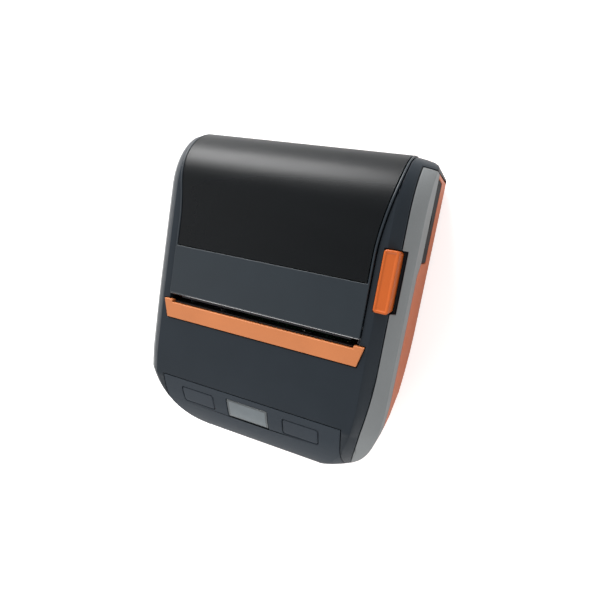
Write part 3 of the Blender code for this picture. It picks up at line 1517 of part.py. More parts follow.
def latch():
    plan = rounded_rectangle(
        (LATCH_X + LATCH_WIDTH / 2, LATCH_Y), LATCH_WIDTH / 2, LATCH_LENGTH / 2, LATCH_CORNER
    )
    button = prism("Z", [plan], LATCH_LOW_Z, LATCH_TOP)
    top = LATCH_TOP - LATCH_NUB_DROP
    nub = box(
        (COVER_HALF_FRONT + GAP, LATCH_Y - LATCH_NUB_HALF, top - LATCH_NUB_WALL),
        (LATCH_X + LATCH_TAIL_WALL, LATCH_Y + LATCH_NUB_HALF, top),
    )
    tail = box(
        (LATCH_X, LATCH_Y - LATCH_TAIL_HALF, LATCH_LOW_Z - LATCH_TAIL_LENGTH),
        (LATCH_X + LATCH_TAIL_WALL, LATCH_Y + LATCH_TAIL_HALF, LATCH_LOW_Z + LATCH_TAIL_WALL),
    )
    combine(button, [nub, tail], "UNION")
    finish(button, "latch_button", "orange_plastic")
    start = LATCH_X + LATCH_TAIL_WALL + LATCH_TRAVEL + GAP
    reach = LATCH_SPRING_RADIUS + LATCH_SPRING_WIRE
    middle = LATCH_LOW_Z - LATCH_TAIL_LENGTH + reach
    spring = coil(
        (start, LATCH_Y, middle),
        HALF_WIDTH - FRONT_WALL - 2 * GAP - start,
        "X",
        LATCH_SPRING_RADIUS,
        LATCH_SPRING_WIRE,
        LATCH_SPRING_TURNS,
    )
    finish(spring, "latch_spring", "steel")


# Boards and sockets


def boards():
    low = FOOT_PROUD + BAY_HEIGHT + GAP
    board = box(
        (-MAIN_BOARD_HALF, BATTERY_START_Y - MAIN_BOARD_MARGIN, low),
        (MAIN_BOARD_HALF, BATTERY_END_Y + MAIN_BOARD_MARGIN, low + BOARD_THICKNESS),
    )
    finish(board, "main_board", "board_green")
    start = BATTERY_START_Y + CONTACT_INSET
    contacts = box(
        (-CONTACT_HALF, start, FOOT_PROUD + BATTERY_HEIGHT + GAP),
        (CONTACT_HALF, start + CONTACT_LENGTH, low - GAP),
    )
    finish(contacts, "battery_contacts", "connector_plastic")
    upright = box(
        (INTERFACE_X, INTERFACE_START_Y, INTERFACE_LOW_Z),
        (INTERFACE_X + BOARD_THICKNESS, INTERFACE_END_Y, INTERFACE_TOP_Z),
    )
    finish(upright, "interface_board", "board_green")


def sockets():
    start = INTERFACE_X + BOARD_THICKNESS + GAP
    end = PORT_FACE_X - GAP
    usb = box((start, USB_Y - USB_HALF, USB_LOW_Z), (end, USB_Y + USB_HALF, USB_LOW_Z + USB_HEIGHT))
    wall = USB_MOUTH_WALL
    mouth = box(
        (end - USB_MOUTH_DEPTH, USB_Y - USB_HALF + wall, USB_LOW_Z + wall),
        (end + OVERRUN, USB_Y + USB_HALF - wall, USB_LOW_Z + USB_HEIGHT - wall),
    )
    tongue = box(
        (end - USB_MOUTH_DEPTH - wall, USB_Y - USB_TONGUE_HALF, USB_LOW_Z + USB_HEIGHT / 2 - wall),
        (end - wall, USB_Y + USB_TONGUE_HALF, USB_LOW_Z + USB_HEIGHT / 2 + wall),
    )
    boolean(usb, mouth)
    boolean(usb, tongue, "UNION")
    finish(usb, "usb_socket", "connector_metal")
    jack = box(
        (start, JACK_Y - JACK_HALF, JACK_LOW_Z), (end, JACK_Y + JACK_HALF, JACK_LOW_Z + 2 * JACK_HALF)
    )
    centre = (JACK_Y, JACK_LOW_Z + JACK_HALF)
    hole = cylinder("X", centre, JACK_HOLE_RADIUS, end - JACK_HOLE_DEPTH, end + OVERRUN)
    pin = cylinder(
        "X", centre, JACK_PIN_RADIUS, end - JACK_HOLE_DEPTH - wall, end - wall, SMALL_SIDES
    )
    boolean(jack, hole)
    boolean(jack, pin, "UNION")
    finish(jack, "charge_socket", "connector_plastic")


def port_cover():
    cover = form()
    zone = box(
        (HALF_WIDTH - PORT_WALL, PORT_START_Y, PORT_LOW_Z),
        (HALF_WIDTH + OVERRUN, PORT_END_Y, PARTING_PORT - GAP),
    )
    boolean(cover, zone, "INTERSECT")
    origin = (
        HALF_WIDTH - PORT_HINGE_INSET,
        (PORT_START_Y + PORT_END_Y) / 2,
        PORT_LOW_Z + PORT_HINGE_INSET,
    )
    finish(cover, "port_cover", "rubber", origin)


# Battery and its latch


def battery():
    plan = rounded_rectangle(
        (0, (BATTERY_START_Y + BATTERY_END_Y) / 2),
        BATTERY_HALF,
        (BATTERY_END_Y - BATTERY_START_Y) / 2,
        BATTERY_CORNER,
    )
    pack = prism("Z", [plan], FOOT_PROUD, FOOT_PROUD + BATTERY_HEIGHT)
    finish(pack, "battery_pack", "battery_plastic")


def battery_latch():
    start = slider_start()
    low = FOOT_PROUD + BACK_WALL + GAP
    top = low + SLIDER_FLANGE_WALL
    end = start + SLIDER_LENGTH
    slider = box((-SLIDER_HALF, start, FOOT_PROUD), (SLIDER_HALF, end, top))
    flange = box(
        (-SLIDER_HALF - SLIDER_FLANGE, start, low),
        (SLIDER_HALF + SLIDER_FLANGE, end + SLIDER_TRAVEL + SLIDER_FLANGE, top),
    )
    tongue = box(
        (-SLIDER_TONGUE_HALF, BATTERY_END_Y + GAP, low), (SLIDER_TONGUE_HALF, start + GAP, top)
    )
    combine(slider, [flange, tongue], "UNION")
    pitch = SLIDER_LENGTH / SLIDER_GROOVES
    for i in range(SLIDER_GROOVES):
        middle = start + pitch * (i + GROOVE_START_SHARE)
        groove = box(
            (-SLIDER_HALF + SLIDER_GROOVE, middle - SLIDER_GROOVE, FOOT_PROUD - OVERRUN),
            (SLIDER_HALF - SLIDER_GROOVE, middle + SLIDER_GROOVE, FOOT_PROUD + SLIDER_GROOVE),
        )
        boolean(slider, groove)
    finish(slider, "battery_latch", "key_plastic")


# Feet and screws


def feet():
    for name, (x, y) in foot_places().items():
        foot = cylinder("Z", (x, y), FOOT_RADIUS, 0, FOOT_PROUD + FOOT_RECESS - GAP)
        finish(foot, f"foot_{name}", "rubber", smooth=True)


def case_screws():
    low = screw_head_z()
    for name, (x, y) in screw_places().items():
        shank_top = POST_LOW_Z + SCREW_REACH
        screw = cylinder("Z", (x, y), SCREW_HEAD_RADIUS, low, low + SCREW_HEAD_HEIGHT, SMALL_SIDES)
        shank = cylinder("Z", (x, y), SCREW_RADIUS, low + SOCKET_DEPTH + GAP, shank_top, SMALL_SIDES)
        socket = cylinder("Z", (x, y), SOCKET_RADIUS, low - OVERRUN, low + SOCKET_DEPTH, SOCKET_SIDES)
        boolean(screw, shank, "UNION")
        boolean(screw, socket)
        finish(screw, f"case_screw_{name}", "steel")


def main():
    clear_scene()
    make_collections()
    front_shell()
    side_band(-1, "left_side_band")
    side_band(1, "right_side_band")
    back_shell()
    chin_panel()
    keys()
    display()
    key_board()
    tear_bar()
    tear_blade()
    paper_cover()
    cover_window()
    hinge_pin()
    platen()
    gears()
    idler_pin()
    motor()
    mech_frame()
    print_head()
    paper_bin()
    latch()
    boards()
    sockets()
    port_cover()
    battery()
    battery_latch()
    feet()
    case_screws()


main()
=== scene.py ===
"""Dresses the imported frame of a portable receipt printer: finely modelled shells, cover, keys,
latch, springs and battery, procedural finishes, a pale floor and a camera.

Metres, in the frame's own axes: +Z points out of the printer's front face, +Y towards the
hinged end and +X towards the cover latch.
"""

import json
import math

import bmesh
import bpy
from bpy.props import FloatProperty, FloatVectorProperty, IntProperty, PointerProperty
from bpy.types import Operator, Panel, PropertyGroup
from mathutils import Matrix, Vector


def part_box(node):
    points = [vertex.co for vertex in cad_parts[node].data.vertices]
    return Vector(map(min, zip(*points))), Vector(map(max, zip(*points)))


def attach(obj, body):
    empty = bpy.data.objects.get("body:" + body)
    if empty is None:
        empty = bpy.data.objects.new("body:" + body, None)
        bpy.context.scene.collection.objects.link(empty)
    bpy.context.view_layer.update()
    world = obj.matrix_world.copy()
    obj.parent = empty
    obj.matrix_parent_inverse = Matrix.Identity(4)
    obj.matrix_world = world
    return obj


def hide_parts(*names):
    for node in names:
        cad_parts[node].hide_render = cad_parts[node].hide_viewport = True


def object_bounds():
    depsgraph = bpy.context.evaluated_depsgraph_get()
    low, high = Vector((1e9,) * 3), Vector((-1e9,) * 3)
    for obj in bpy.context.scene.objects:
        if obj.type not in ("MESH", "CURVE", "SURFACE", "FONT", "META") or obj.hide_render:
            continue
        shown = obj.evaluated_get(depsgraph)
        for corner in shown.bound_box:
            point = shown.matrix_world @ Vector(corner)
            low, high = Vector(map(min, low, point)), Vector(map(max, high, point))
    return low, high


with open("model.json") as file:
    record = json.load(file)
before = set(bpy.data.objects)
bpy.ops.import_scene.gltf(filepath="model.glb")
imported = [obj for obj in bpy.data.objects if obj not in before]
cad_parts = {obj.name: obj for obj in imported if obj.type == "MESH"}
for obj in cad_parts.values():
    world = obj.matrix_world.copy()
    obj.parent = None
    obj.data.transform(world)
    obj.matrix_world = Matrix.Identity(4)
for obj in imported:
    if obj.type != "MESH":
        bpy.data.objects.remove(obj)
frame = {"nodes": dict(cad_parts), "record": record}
CAD_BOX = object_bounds()

bl_info = {
    "name": "Portable receipt printer",
    "version": (1, 0, 0),
    "blender": (4, 5, 0),
    "location": "3D View > Sidebar > Receipt Printer",
    "description": "Builds the looks of a portable receipt printer round its packed frame",
    "category": "Add Mesh",
}

MM = 0.001
OVERRUN = 12 * MM
GAP = 0.3 * MM

# Places taken from the frame's nodes
FACE_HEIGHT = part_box("front_shell")[1].z
COVER_LOW, COVER_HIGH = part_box("paper_cover")
PANEL_LOW, PANEL_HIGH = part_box("chin_panel")
LATCH_LOW, LATCH_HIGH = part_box("latch_button")
ROLLER_LOW, ROLLER_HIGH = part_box("platen_roller")
PORT_LOW, PORT_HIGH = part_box("port_cover")
BATTERY_LOW, BATTERY_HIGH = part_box("battery_pack")
SLIDER_LOW, SLIDER_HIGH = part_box("battery_latch")
BIN_LOW, BIN_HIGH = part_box("paper_bin")

HALF_WIDTH = CAD_BOX[1].x
END_Y = CAD_BOX[1].y
COVER_TOP = COVER_HIGH.z
COVER_FRONT_Y = COVER_LOW.y
COVER_HALF_REAR = COVER_HIGH.x
COVER_END_Y = COVER_HIGH.y
CHIN_LINE_Y = PANEL_HIGH.y
PANEL_LOW_Z = PANEL_LOW.z
PANEL_HALF = PANEL_HIGH.x

# Outer form, as the solids have it
FOOT_PROUD = 1 * MM
FACE_FALL = 0.9 * MM
ROLL_DEPTH = 26.5 * MM
ROLL_DROP = 25 * MM
END_CORNER_WIDTH = 14 * MM
END_CORNER_LENGTH = 5 * MM
END_EDGE_RADIUS = 4 * MM
CHIN_RADIUS = 55.6 * MM
NOSE_TOP_SHARE = 0.3644
NOSE_THICKNESS = 4 * MM
KEEL_RISE_LENGTH = 14.5 * MM
LOWER_CORNER_LENGTH = 45 * MM
LOWER_CORNER_SHARE = 0.5918
LOWER_CORNER_OVERHANG = 2 * MM
NOTCH_INSET = 25 * MM
NOTCH_DEPTH = 2 * MM
NOTCH_HEIGHT = 9 * MM
SHOULDER = 10 * MM
SHOULDER_POWER = 1.2
SHOULDER_LIMIT_SHARE = 0.5
SHOULDER_INSET_SHARE = 0.586
BILGE_RADIUS = 4 * MM
BILGE_GROWTH_WIDTH = 12 * MM
BILGE_GROWTH_HEIGHT = 28 * MM
BILGE_GROWTH_LENGTH = 38 * MM
BILGE_START_Y = 69.5 * MM - END_Y
LEAST_RADIUS = 0.5 * MM
ROLL_Y = END_Y - ROLL_DEPTH
ROLL_Z = FACE_HEIGHT - ROLL_DROP
NOSE_TOP = FACE_HEIGHT * NOSE_TOP_SHARE
NOSE_BOTTOM = NOSE_TOP - NOSE_THICKNESS
KEEL_Y = KEEL_RISE_LENGTH - END_Y
LOWER_CORNER_WIDTH = HALF_WIDTH * LOWER_CORNER_SHARE
NOTCH_HALF = HALF_WIDTH - NOTCH_INSET

# Walls
FRONT_WALL = 3.6 * MM
BACK_WALL = 2.4 * MM
BAND_WALL = 1.5 * MM
PANEL_WALL = 1.6 * MM

# Parting line and side bands
PARTING_END = 8 * MM
PARTING_PORT = FACE_HEIGHT * 0.561
PARTING_SIDE = FACE_HEIGHT * 0.6441
PARTING_STEP_LENGTH = 5 * MM
PARTING_NOSE_RISE_START_Y = 12.5 * MM - END_Y
PARTING_NOSE_RISE_END_Y = 34.5 * MM - END_Y
BAND_EDGE_X = HALF_WIDTH - 5.3 * MM
BAND_END_Y = END_Y - 5.8 * MM
BAND_TAPER_START_Y = 60.5 * MM - END_Y
BAND_TAPER_END_Y = 11 * MM - END_Y
BAND_TAPER_WIDTH = 7 * MM
BAND_TAPER_POWER = 2
BAND_TIP_SLOPE = 0.55

# Paper cover
COVER_WALL = 2.4 * MM
COVER_HALF_FRONT = HALF_WIDTH - 13.5 * MM
COVER_FLAT = ROLL_Y - COVER_FRONT_Y
FLARE_START_Y = COVER_FRONT_Y + COVER_FLAT * 0.68
FLARE_LENGTH = COVER_FLAT * 0.78
LIP_LENGTH = 3.5 * MM
LIP_DEPTH = 4 * MM
LIP_CHAMFER = 0.4 * MM
LIP_CHAMFER_LENGTH = 1 * MM
LIP_ROUGHNESS = 0.12
KNUCKLE_RADIUS = 2.6 * MM
HINGE_PIN_RADIUS = 1.1 * MM
HINGE_PIN_REACH = 2.2 * MM
HINGE_Y = COVER_END_Y - KNUCKLE_RADIUS
HINGE_Z = ROLL_Z
HINGE_REST_Z = HINGE_Z - KNUCKLE_RADIUS - 2 * GAP
HINGE_BOSS_WIDTH = 3.4 * MM
HINGE_BOSS_HALF = 2.8 * MM
WINDOW_Y = COVER_FRONT_Y + COVER_FLAT * 0.464
WINDOW_WALL = 1.2 * MM
WINDOW_MARGIN = 1.2 * MM
WINDOW_ARC_SHARE = 0.8
SIGHT_HALF = COVER_HALF_FRONT - 7.5 * MM
SIGHT_START_Y = WINDOW_Y + 5.5 * MM
SIGHT_END_Y = ROLL_Y + 14 * MM

# Platen and its cheeks, the paper bin and the springs
PLATEN_Y = (ROLLER_LOW.y + ROLLER_HIGH.y) / 2
PLATEN_Z = (ROLLER_LOW.z + ROLLER_HIGH.z) / 2
PLATEN_RADIUS = (ROLLER_HIGH.z - ROLLER_LOW.z) / 2
PLATEN_HALF = ROLLER_HIGH.x
SHAFT_RADIUS = 1.05 * MM
BUSH_WALL = 0.8 * MM
CHEEK_WALL = 1.3 * MM
CHEEK_HALF = 4.3 * MM
CHEEK_DROP = 4.4 * MM
CHEEK_CHAMFER = 1.8 * MM
CHEEK_X = PLATEN_HALF + 2 * GAP
ROLLER_EDGE = 0.3 * MM
BIN_ROOM = 0.8 * MM
BIN_REAR_DROP = 4.5 * MM
HEAD_COIL_RADIUS = 2.4 * MM
LATCH_COIL_RADIUS = 1.7 * MM
SPRING_WIRE = 0.3 * MM

# Tear bar and blade
TEAR_TOP_Y = COVER_FRONT_Y - 2.4 * MM
TEAR_BOTTOM_Y = TEAR_TOP_Y - 8.2 * MM
TEAR_TOP_HALF = COVER_HALF_FRONT + 2.5 * MM
TEAR_BOTTOM_HALF = COVER_HALF_FRONT + 0.5 * MM
TEAR_TOP_PROUD = 0.9 * MM
TEAR_BOTTOM_PROUD = 0.1 * MM
TEAR_DEPTH = 2 * MM
SLOT_HALF = COVER_HALF_FRONT - 1.7 * MM
SLOT_Y = TEAR_TOP_Y - 1.3 * MM
THROAT_Y = TEAR_TOP_Y - 3.6 * MM
BLADE_WALL = 0.5 * MM
BLADE_HEIGHT = 4.2 * MM
BLADE_TOP_DROP = 0.3 * MM
BLADE_TOOTH_DEPTH = 0.8 * MM

# Keys and display on the chin
KEY_X = PANEL_HALF * 0.589
KEY_HALF = PANEL_HALF * 0.1934
KEY_Y = CHIN_LINE_Y - 8 * MM
KEY_HALF_HEIGHT = 4.7 * MM
KEY_CORNER = 1.2 * MM
KEY_DEPTH = 3.4 * MM
DISPLAY_HALF = PANEL_HALF * 0.23
DISPLAY_HALF_HEIGHT = 5.5 * MM
DISPLAY_SUNK = 0.2 * MM
DISPLAY_WALL = 1.4 * MM
DISPLAY_EDGE = 0.15 * MM

# Cover latch
LATCH_X = COVER_HALF_FRONT + 3 * MM
LATCH_WIDTH = 5.8 * MM
LATCH_START_Y = LATCH_LOW.y
LATCH_END_Y = LATCH_HIGH.y
LATCH_Y = (LATCH_START_Y + LATCH_END_Y) / 2
LATCH_TOP = LATCH_HIGH.z
LATCH_HEIGHT = 9.7 * MM
LATCH_TRAVEL = 1.4 * MM
LATCH_CORNER = 1.2 * MM
LATCH_LEAST_CORNER = 0.2 * MM
LATCH_RIM = 0.3 * MM
LATCH_DISH_SLOPE = 0.7 * MM
LATCH_NUB_HALF = 3 * MM
LATCH_NUB_DROP = 3.7 * MM
LATCH_NUB_WALL = 1.3 * MM
LATCH_TAIL_HALF = 2.5 * MM
LATCH_TAIL_WALL = 1.6 * MM
LATCH_LOW_Z = LATCH_TOP - LATCH_HEIGHT
LATCH_FLOOR_Z = LATCH_LOW_Z - GAP
HOUSING_WALL = 1.4 * MM
CATCH_HALF = 4 * MM
CATCH_WALL = 1.4 * MM
CATCH_LENGTH = 7 * MM
CATCH_INSET = 0.2 * MM

# Feet, screws, port cover and battery bay
FOOT_RADIUS = 3.5 * MM
FOOT_RECESS = 1 * MM
FOOT_EDGE = 0.12 * MM
FOOT_RING_DEPTH = 0.2 * MM
FOOT_RING_SHARES = (0.6, 0.72)
FRONT_FOOT = (HALF_WIDTH - 19.5 * MM, 34.5 * MM - END_Y)
REAR_FOOT = (HALF_WIDTH - 17 * MM, END_Y - 15.5 * MM)
FRONT_SCREW = (HALF_WIDTH - 17 * MM, 17.5 * MM - END_Y)
REAR_SCREW = (HALF_WIDTH - 7.4 * MM, END_Y - 10.5 * MM)
POST_LOW_Z = 12 * MM
POST_RADIUS = 2.8 * MM
BOSS_RADIUS = 3.2 * MM
SCREW_HEAD_RADIUS = 2.2 * MM
SCREW_HEAD_HEIGHT = 1.4 * MM
SCREW_HEAD_Z = FOOT_PROUD + 3 * MM
SCREW_RADIUS = 1.2 * MM
SCREW_REACH = 6 * MM
SOCKET_RADIUS = 1.1 * MM
SOCKET_DEPTH = 0.7 * MM
SCREW_EDGE = 0.15 * MM
PORT_WALL = 1.7 * MM
PORT_FACE_X = HALF_WIDTH - PORT_WALL - GAP
PORT_BLOCK_WALL = 1.8 * MM
PORT_BLOCK_MARGIN = 1.2 * MM
PORT_SCOOP_RADIUS = 4 * MM
PORT_SCOOP_DEPTH = 0.6 * MM
PORT_SCOOP_RISE = 1.6 * MM
PORT_START_Y = PORT_LOW.y
PORT_END_Y = PORT_HIGH.y
PORT_LOW_Z = PORT_LOW.z
BAY_WALL = 1.6 * MM
BAY_TOP = FOOT_PROUD + FACE_HEIGHT - 36.3 * MM
BATTERY_CORNER = 2.5 * MM
PANEL_LINE_INSET = 3 * MM
PANEL_LINE_WIDTH = 0.6 * MM
PANEL_LINE_DEPTH = 0.25 * MM
HOLLOW_INSET = 9 * MM
HOLLOW_RADIUS = 6 * MM
HOLLOW_DEPTH = 0.5 * MM
SLIDER_HALF = 8 * MM
SLIDER_TONGUE_HALF = 4 * MM
SLIDER_TRAVEL = 3 * MM
SLIDER_FLANGE = 2 * MM
SLIDER_FLANGE_WALL = 1.3 * MM
SLIDER_GROOVE = 0.5 * MM
SLIDER_START_Y = BATTERY_HIGH.y + BAY_WALL + 3 * GAP
SLIDER_END_Y = SLIDER_START_Y + 7 * MM

# Fineness of the modelled surfaces
SHOULDER_STEPS = 12
BILGE_STEPS = 9
NOSE_STEPS = 16
MIDDLE_STEPS = 10
ROLL_STEPS = 16
TAPER_STEPS = 22
FLARE_STEPS = 16
COVER_ARC_STEPS = 36
CORNER_STEPS = 8
ROUND_SIDES = 56
SMALL_SIDES = 28
WIRE_SIDES = 10
SOCKET_SIDES = 6
NORMAL_WEIGHT = 60
WELD = 0.004 * MM
CREASE_ANGLE = math.radians(58)
BEVEL_ANGLE = math.radians(34)

# Camera, as fitted to the photograph's edges and corners
CAMERA_PLACE = Vector((0.08082, 0.0374, 0.23053))
CAMERA_RIGHT = Vector((0.91485, 0.16633, -0.36794))
CAMERA_UP = Vector((-0.21103, 0.97382, -0.08447))
CAMERA_LENS = 28.164
CAMERA_SENSOR = 36.0
CAMERA_CLIP = 10 * MM

# Stage, with each lamp's direction, distance, size and power
LAMPS = {
    "roll_light": ((-0.42, 0.85, 0.31), 0.9, (0.52, 0.44), 12.5),
    "side_light": ((0.72, -0.66, 0.24), 1.0, (0.5, 0.35), 2.2),
    "front_light": ((-0.37, -0.76, 0.53), 1.1, (0.5, 0.18), 2.8),
    "left_light": ((-0.75, -0.15, 0.8), 1.2, (0.9, 0.9), 1.2),
}
LAMP_TARGET = Vector((0, 0, 30 * MM))
WORLD_STRENGTH = 0.62
FLOOR_HALF = 2.0
FLOOR_SHADE = 0.84
FLOOR_GLOW = 0.55
FLOOR_CLOUD = 40 * MM

# Patterns of the finishes: how large their blotches and lines are, and how deep
MOULDING_CLOUD = 14 * MM
SCUFF = 2.2 * MM
PEEL = 5 * MM
PEEL_DEPTH = 0.01 * MM
SMEAR = 9 * MM
DUST = 6 * MM
RUBBER_GRAIN = 0.3 * MM
RUBBER_GRAIN_DEPTH = 0.02 * MM
METAL_LINE = 0.16 * MM
METAL_LINE_DEPTH = 0.004 * MM
METAL_CLOUD = 4 * MM
TRACK_LENGTH = 9 * MM
TRACK_DEPTH = 0.03 * MM
HOLE_PITCH = 3.2 * MM
BOARD_CLOUD = 3 * MM
PANE_CLOUD = 5 * MM
PIXEL_DEPTH = 0.003 * MM
GLAZE_CLOUD = 2 * MM
GLAZE_SPECK = 0.2 * MM
GLAZE_DEPTH = 0.004 * MM


# Settings


def length(name, description, default):
    return FloatProperty(name=name, description=description, default=default, unit="LENGTH")


def colour(name, description, default):
    return FloatVectorProperty(
        name=name, description=description, default=default, subtype="COLOR", min=0, max=1
    )


class PrinterSizes(PropertyGroup):
    """Sizes of the fine detail that the solids leave to the looks."""

    shell_edge: length("Shell edge", "Rounding of the shells' cut edges", 0.3 * MM)
    cover_edge: length("Cover edge", "Rounding of the paper cover's edges", 0.35 * MM)
    key_edge: length("Key edge", "Rounding of the press keys", 0.45 * MM)
    latch_edge: length("Latch edge", "Rounding of the latch button", 0.4 * MM)
    latch_dish: length("Latch dish", "Depth of the thumb dish in the latch button", 0.25 * MM)
    grain: length("Grain", "Size of the moulded surface's grain", 0.45 * MM)
    grain_depth: length("Grain depth", "Depth of the moulded surface's grain", 0.012 * MM)
    blade_teeth: IntProperty(
        name="Blade teeth", description="Teeth along the tear blade", default=40, min=4
    )
    spring_turns: IntProperty(
        name="Head spring turns", description="Turns of each print head spring", default=5, min=2
    )
    latch_spring_turns: IntProperty(
        name="Latch spring turns", description="Turns of the latch spring", default=4, min=2
    )
    slider_ribs: IntProperty(
        name="Slider ribs", description="Grip ribs on the battery latch", default=4, min=1
    )


class PrinterColours(PropertyGroup):
    """Colours of the finishes."""

    black: colour("Housing black", "Front shell", (0.016, 0.022, 0.029))
    cover: colour("Cover black", "Paper cover", (0.013, 0.020, 0.027))
    window: colour("Window", "Smoked cover window", (0.002, 0.003, 0.004))
    panel: colour("Chin panel", "Panel that holds the keys", (0.032, 0.041, 0.052))
    key: colour("Keys", "Press keys and battery latch", (0.038, 0.047, 0.059))
    grey: colour("Side grey", "Textured side bands", (0.198, 0.210, 0.214))
    orange: colour("Orange", "Latch and back shell", (0.50, 0.092, 0.004))
    # The tear bar's paler orange is painted sheen, standing in for the light that the bar's face
    # catches
    bar: colour("Bar orange", "Tear bar", (0.58, 0.185, 0.055))
    display: colour("Display", "Display glass", (0.130, 0.157, 0.172))
    rubber: colour("Rubber", "Feet, port cover and platen", (0.014, 0.014, 0.015))


# Mesh helpers


def new_object(name, mesh):
    obj = bpy.data.objects.new(name, mesh)
    bpy.context.scene.collection.objects.link(obj)
    return obj


def object_from(name, bm):
    mesh = bpy.data.meshes.new(name)
    bmesh.ops.recalc_face_normals(bm, faces=bm.faces)
    bm.to_mesh(mesh)
    bm.free()
    return new_object(name, mesh)


def remove(obj):
    mesh = obj.data
    bpy.data.objects.remove(obj)
    if mesh.users == 0:
        bpy.data.meshes.remove(mesh)


def apply_modifiers(obj):
    """Turns the object's modifiers into its mesh."""
    bpy.context.view_layer.update()
    graph = bpy.context.evaluated_depsgraph_get()
    mesh = bpy.data.meshes.new_from_object(obj.evaluated_get(graph))
    old = obj.data
    obj.modifiers.clear()
    obj.data = mesh
    bpy.data.meshes.remove(old)
    return obj


def combine(target, tools, operation):
    """Applies one Boolean after another and removes the tools."""
    for tool in tools:
        modifier = target.modifiers.new(tool.name, "BOOLEAN")
        modifier.operation = operation
        modifier.solver = "EXACT"
        modifier.object = tool
    apply_modifiers(target)
    for tool in tools:
        remove(tool)
    return target


def cut(target, *tools):
    return combine(target, tools, "DIFFERENCE")


def keep(target, *tools):
    return combine(target, tools, "INTERSECT")


def join(target, *tools):
    return combine(target, tools, "UNION")


def round_edges(obj, width, segments=2):
    """Merges the Booleans' crumbs, rounds the hard edges and gives flat faces flat shading."""
    bm = bmesh.new()
    bm.from_mesh(obj.data)
    bmesh.ops.remove_doubles(bm, verts=bm.verts, dist=WELD)
    bmesh.ops.dissolve_degenerate(bm, edges=bm.edges, dist=WELD)
    bm.to_mesh(obj.data)
    bm.free()
    if width > 0:
        bevel = obj.modifiers.new("edges", "BEVEL")
        bevel.width = width
        bevel.segments = segments
        bevel.limit_method = "ANGLE"
        bevel.angle_limit = BEVEL_ANGLE
        bevel.use_clamp_overlap = False
        bevel.miter_outer = "MITER_SHARP"
        apply_modifiers(obj)
    shade(obj)
    return obj


def shade(obj):
    """Keeps the mesh inside the frame's box and gives it smooth faces between hard edges."""
    for vertex in obj.data.vertices:
        vertex.co = [
            min(max(place, low), high) for place, low, high in zip(vertex.co, *CAD_BOX)
        ]
    obj.data.shade_smooth()
    obj.data.set_sharp_from_angle(angle=CREASE_ANGLE)
    normals = obj.modifiers.new("normals", "WEIGHTED_NORMAL")
    normals.keep_sharp = True
    normals.weight = NORMAL_WEIGHT
    return apply_modifiers(obj)


def box(low, high):
    bm = bmesh.new()
    bmesh.ops.create_cube(bm, size=1)
    bmesh.ops.scale(bm, vec=Vector(high) - Vector(low), verts=bm.verts)
    bmesh.ops.translate(bm, vec=(Vector(high) + Vector(low)) / 2, verts=bm.verts)
    return object_from("box", bm)


def middle_box(half, low, high):
    """A box across the printer's middle plane, between two (y, z) corners."""
    return box((-half, *low), (half, *high))


def cylinder(axis, middle, radius, low, high, sides=ROUND_SIDES):
    """A cylinder along X or Z. middle holds the other two coordinates in order."""
    bm = bmesh.new()
    bmesh.ops.create_cone(
        bm, cap_ends=True, segments=sides, radius1=radius, radius2=radius, depth=high - low
    )
    if axis == "X":
        turn = Matrix.Rotation(math.pi / 2, 4, "Y")
        bmesh.ops.transform(bm, matrix=turn, verts=bm.verts)
    place = list(middle)
    place.insert("XYZ".index(axis), (low + high) / 2)
    bmesh.ops.translate(bm, vec=place, verts=bm.verts)
    return object_from("cylinder", bm)


def rod(axis, radius, half, sides=SMALL_SIDES):
    """A cylinder along X about axis, a (y, z) place, with half its length on each side."""
    return cylinder("X", axis, radius, -half, half, sides)


def prism(axis, outline, low, high):
    """A flat outline with a thickness along axis: of (y, z) points for X, (x, y) for Z."""
    bm = bmesh.new()
    rows = []
    for level in (low, high):
        row = []
        for point in outline:
            place = list(point)
            place.insert("XYZ".index(axis), level)
            row.append(bm.verts.new(place))
        rows.append(row)
        bm.faces.new(row)
    for i in range(len(outline)):
        j = (i + 1) % len(outline)
        bm.faces.new((rows[0][i], rows[0][j], rows[1][j], rows[1][i]))
    bmesh.ops.remove_doubles(bm, verts=bm.verts, dist=WELD)
    return object_from("prism", bm)


def loft(rings):
    """A closed skin through rings of equal point counts, with flat ends."""
    bm = bmesh.new()
    rows = [[bm.verts.new(point) for point in ring] for ring in rings]
    for row, after in zip(rows, rows[1:]):
        for i in range(len(row)):
            j = (i + 1) % len(row)
            bm.faces.new((row[i], row[j], after[j], after[i]))
    bm.faces.new(rows[0])
    bm.faces.new(reversed(rows[-1]))
    return object_from("loft", bm)


# Outlines


def shares(steps):
    """Even shares from 0 to 1."""
    return [i / steps for i in range(steps + 1)]


def quarter(steps):
    """Even angles over a quarter turn."""
    return [math.pi / 2 * share for share in shares(steps)]


def mirrored(right):
    """A whole outline from the points of its right half."""
    return right + [(-x, y) for x, y in reversed(right)]


def both_sides(*places):
    return [(side * x, y) for x, y in places for side in (-1, 1)]


def rounded_rectangle(centre, half_x, half_y, corner):
    outline = []
    for turn, (side_x, side_y) in enumerate(((1, 1), (-1, 1), (-1, -1), (1, -1))):
        x = centre[0] + side_x * (half_x - corner)
        y = centre[1] + side_y * (half_y - corner)
        for share in shares(CORNER_STEPS):
            angle = math.pi / 2 * (turn + share)
            outline.append((x + corner * math.cos(angle), y + corner * math.sin(angle)))
    return outline


# Outer form


def arc_centre(first, last, radius):
    """Centre of the arc through two (y, z) points, on the side below and behind the chin."""
    across = (last[0] - first[0], last[1] - first[1])
    half = math.hypot(*across) / 2
    reach = math.sqrt(radius**2 - half**2) / (2 * half)
    return (
        (first[0] + last[0]) / 2 - reach * across[1],
        (first[1] + last[1]) / 2 + reach * across[0],
    )


CHIN_CENTRE = arc_centre(
    (CHIN_LINE_Y, FACE_HEIGHT - FACE_FALL), (-END_Y, NOSE_TOP), CHIN_RADIUS
)


def circle_rise(radius, offset):
    return math.sqrt(max(0, radius**2 - offset**2))


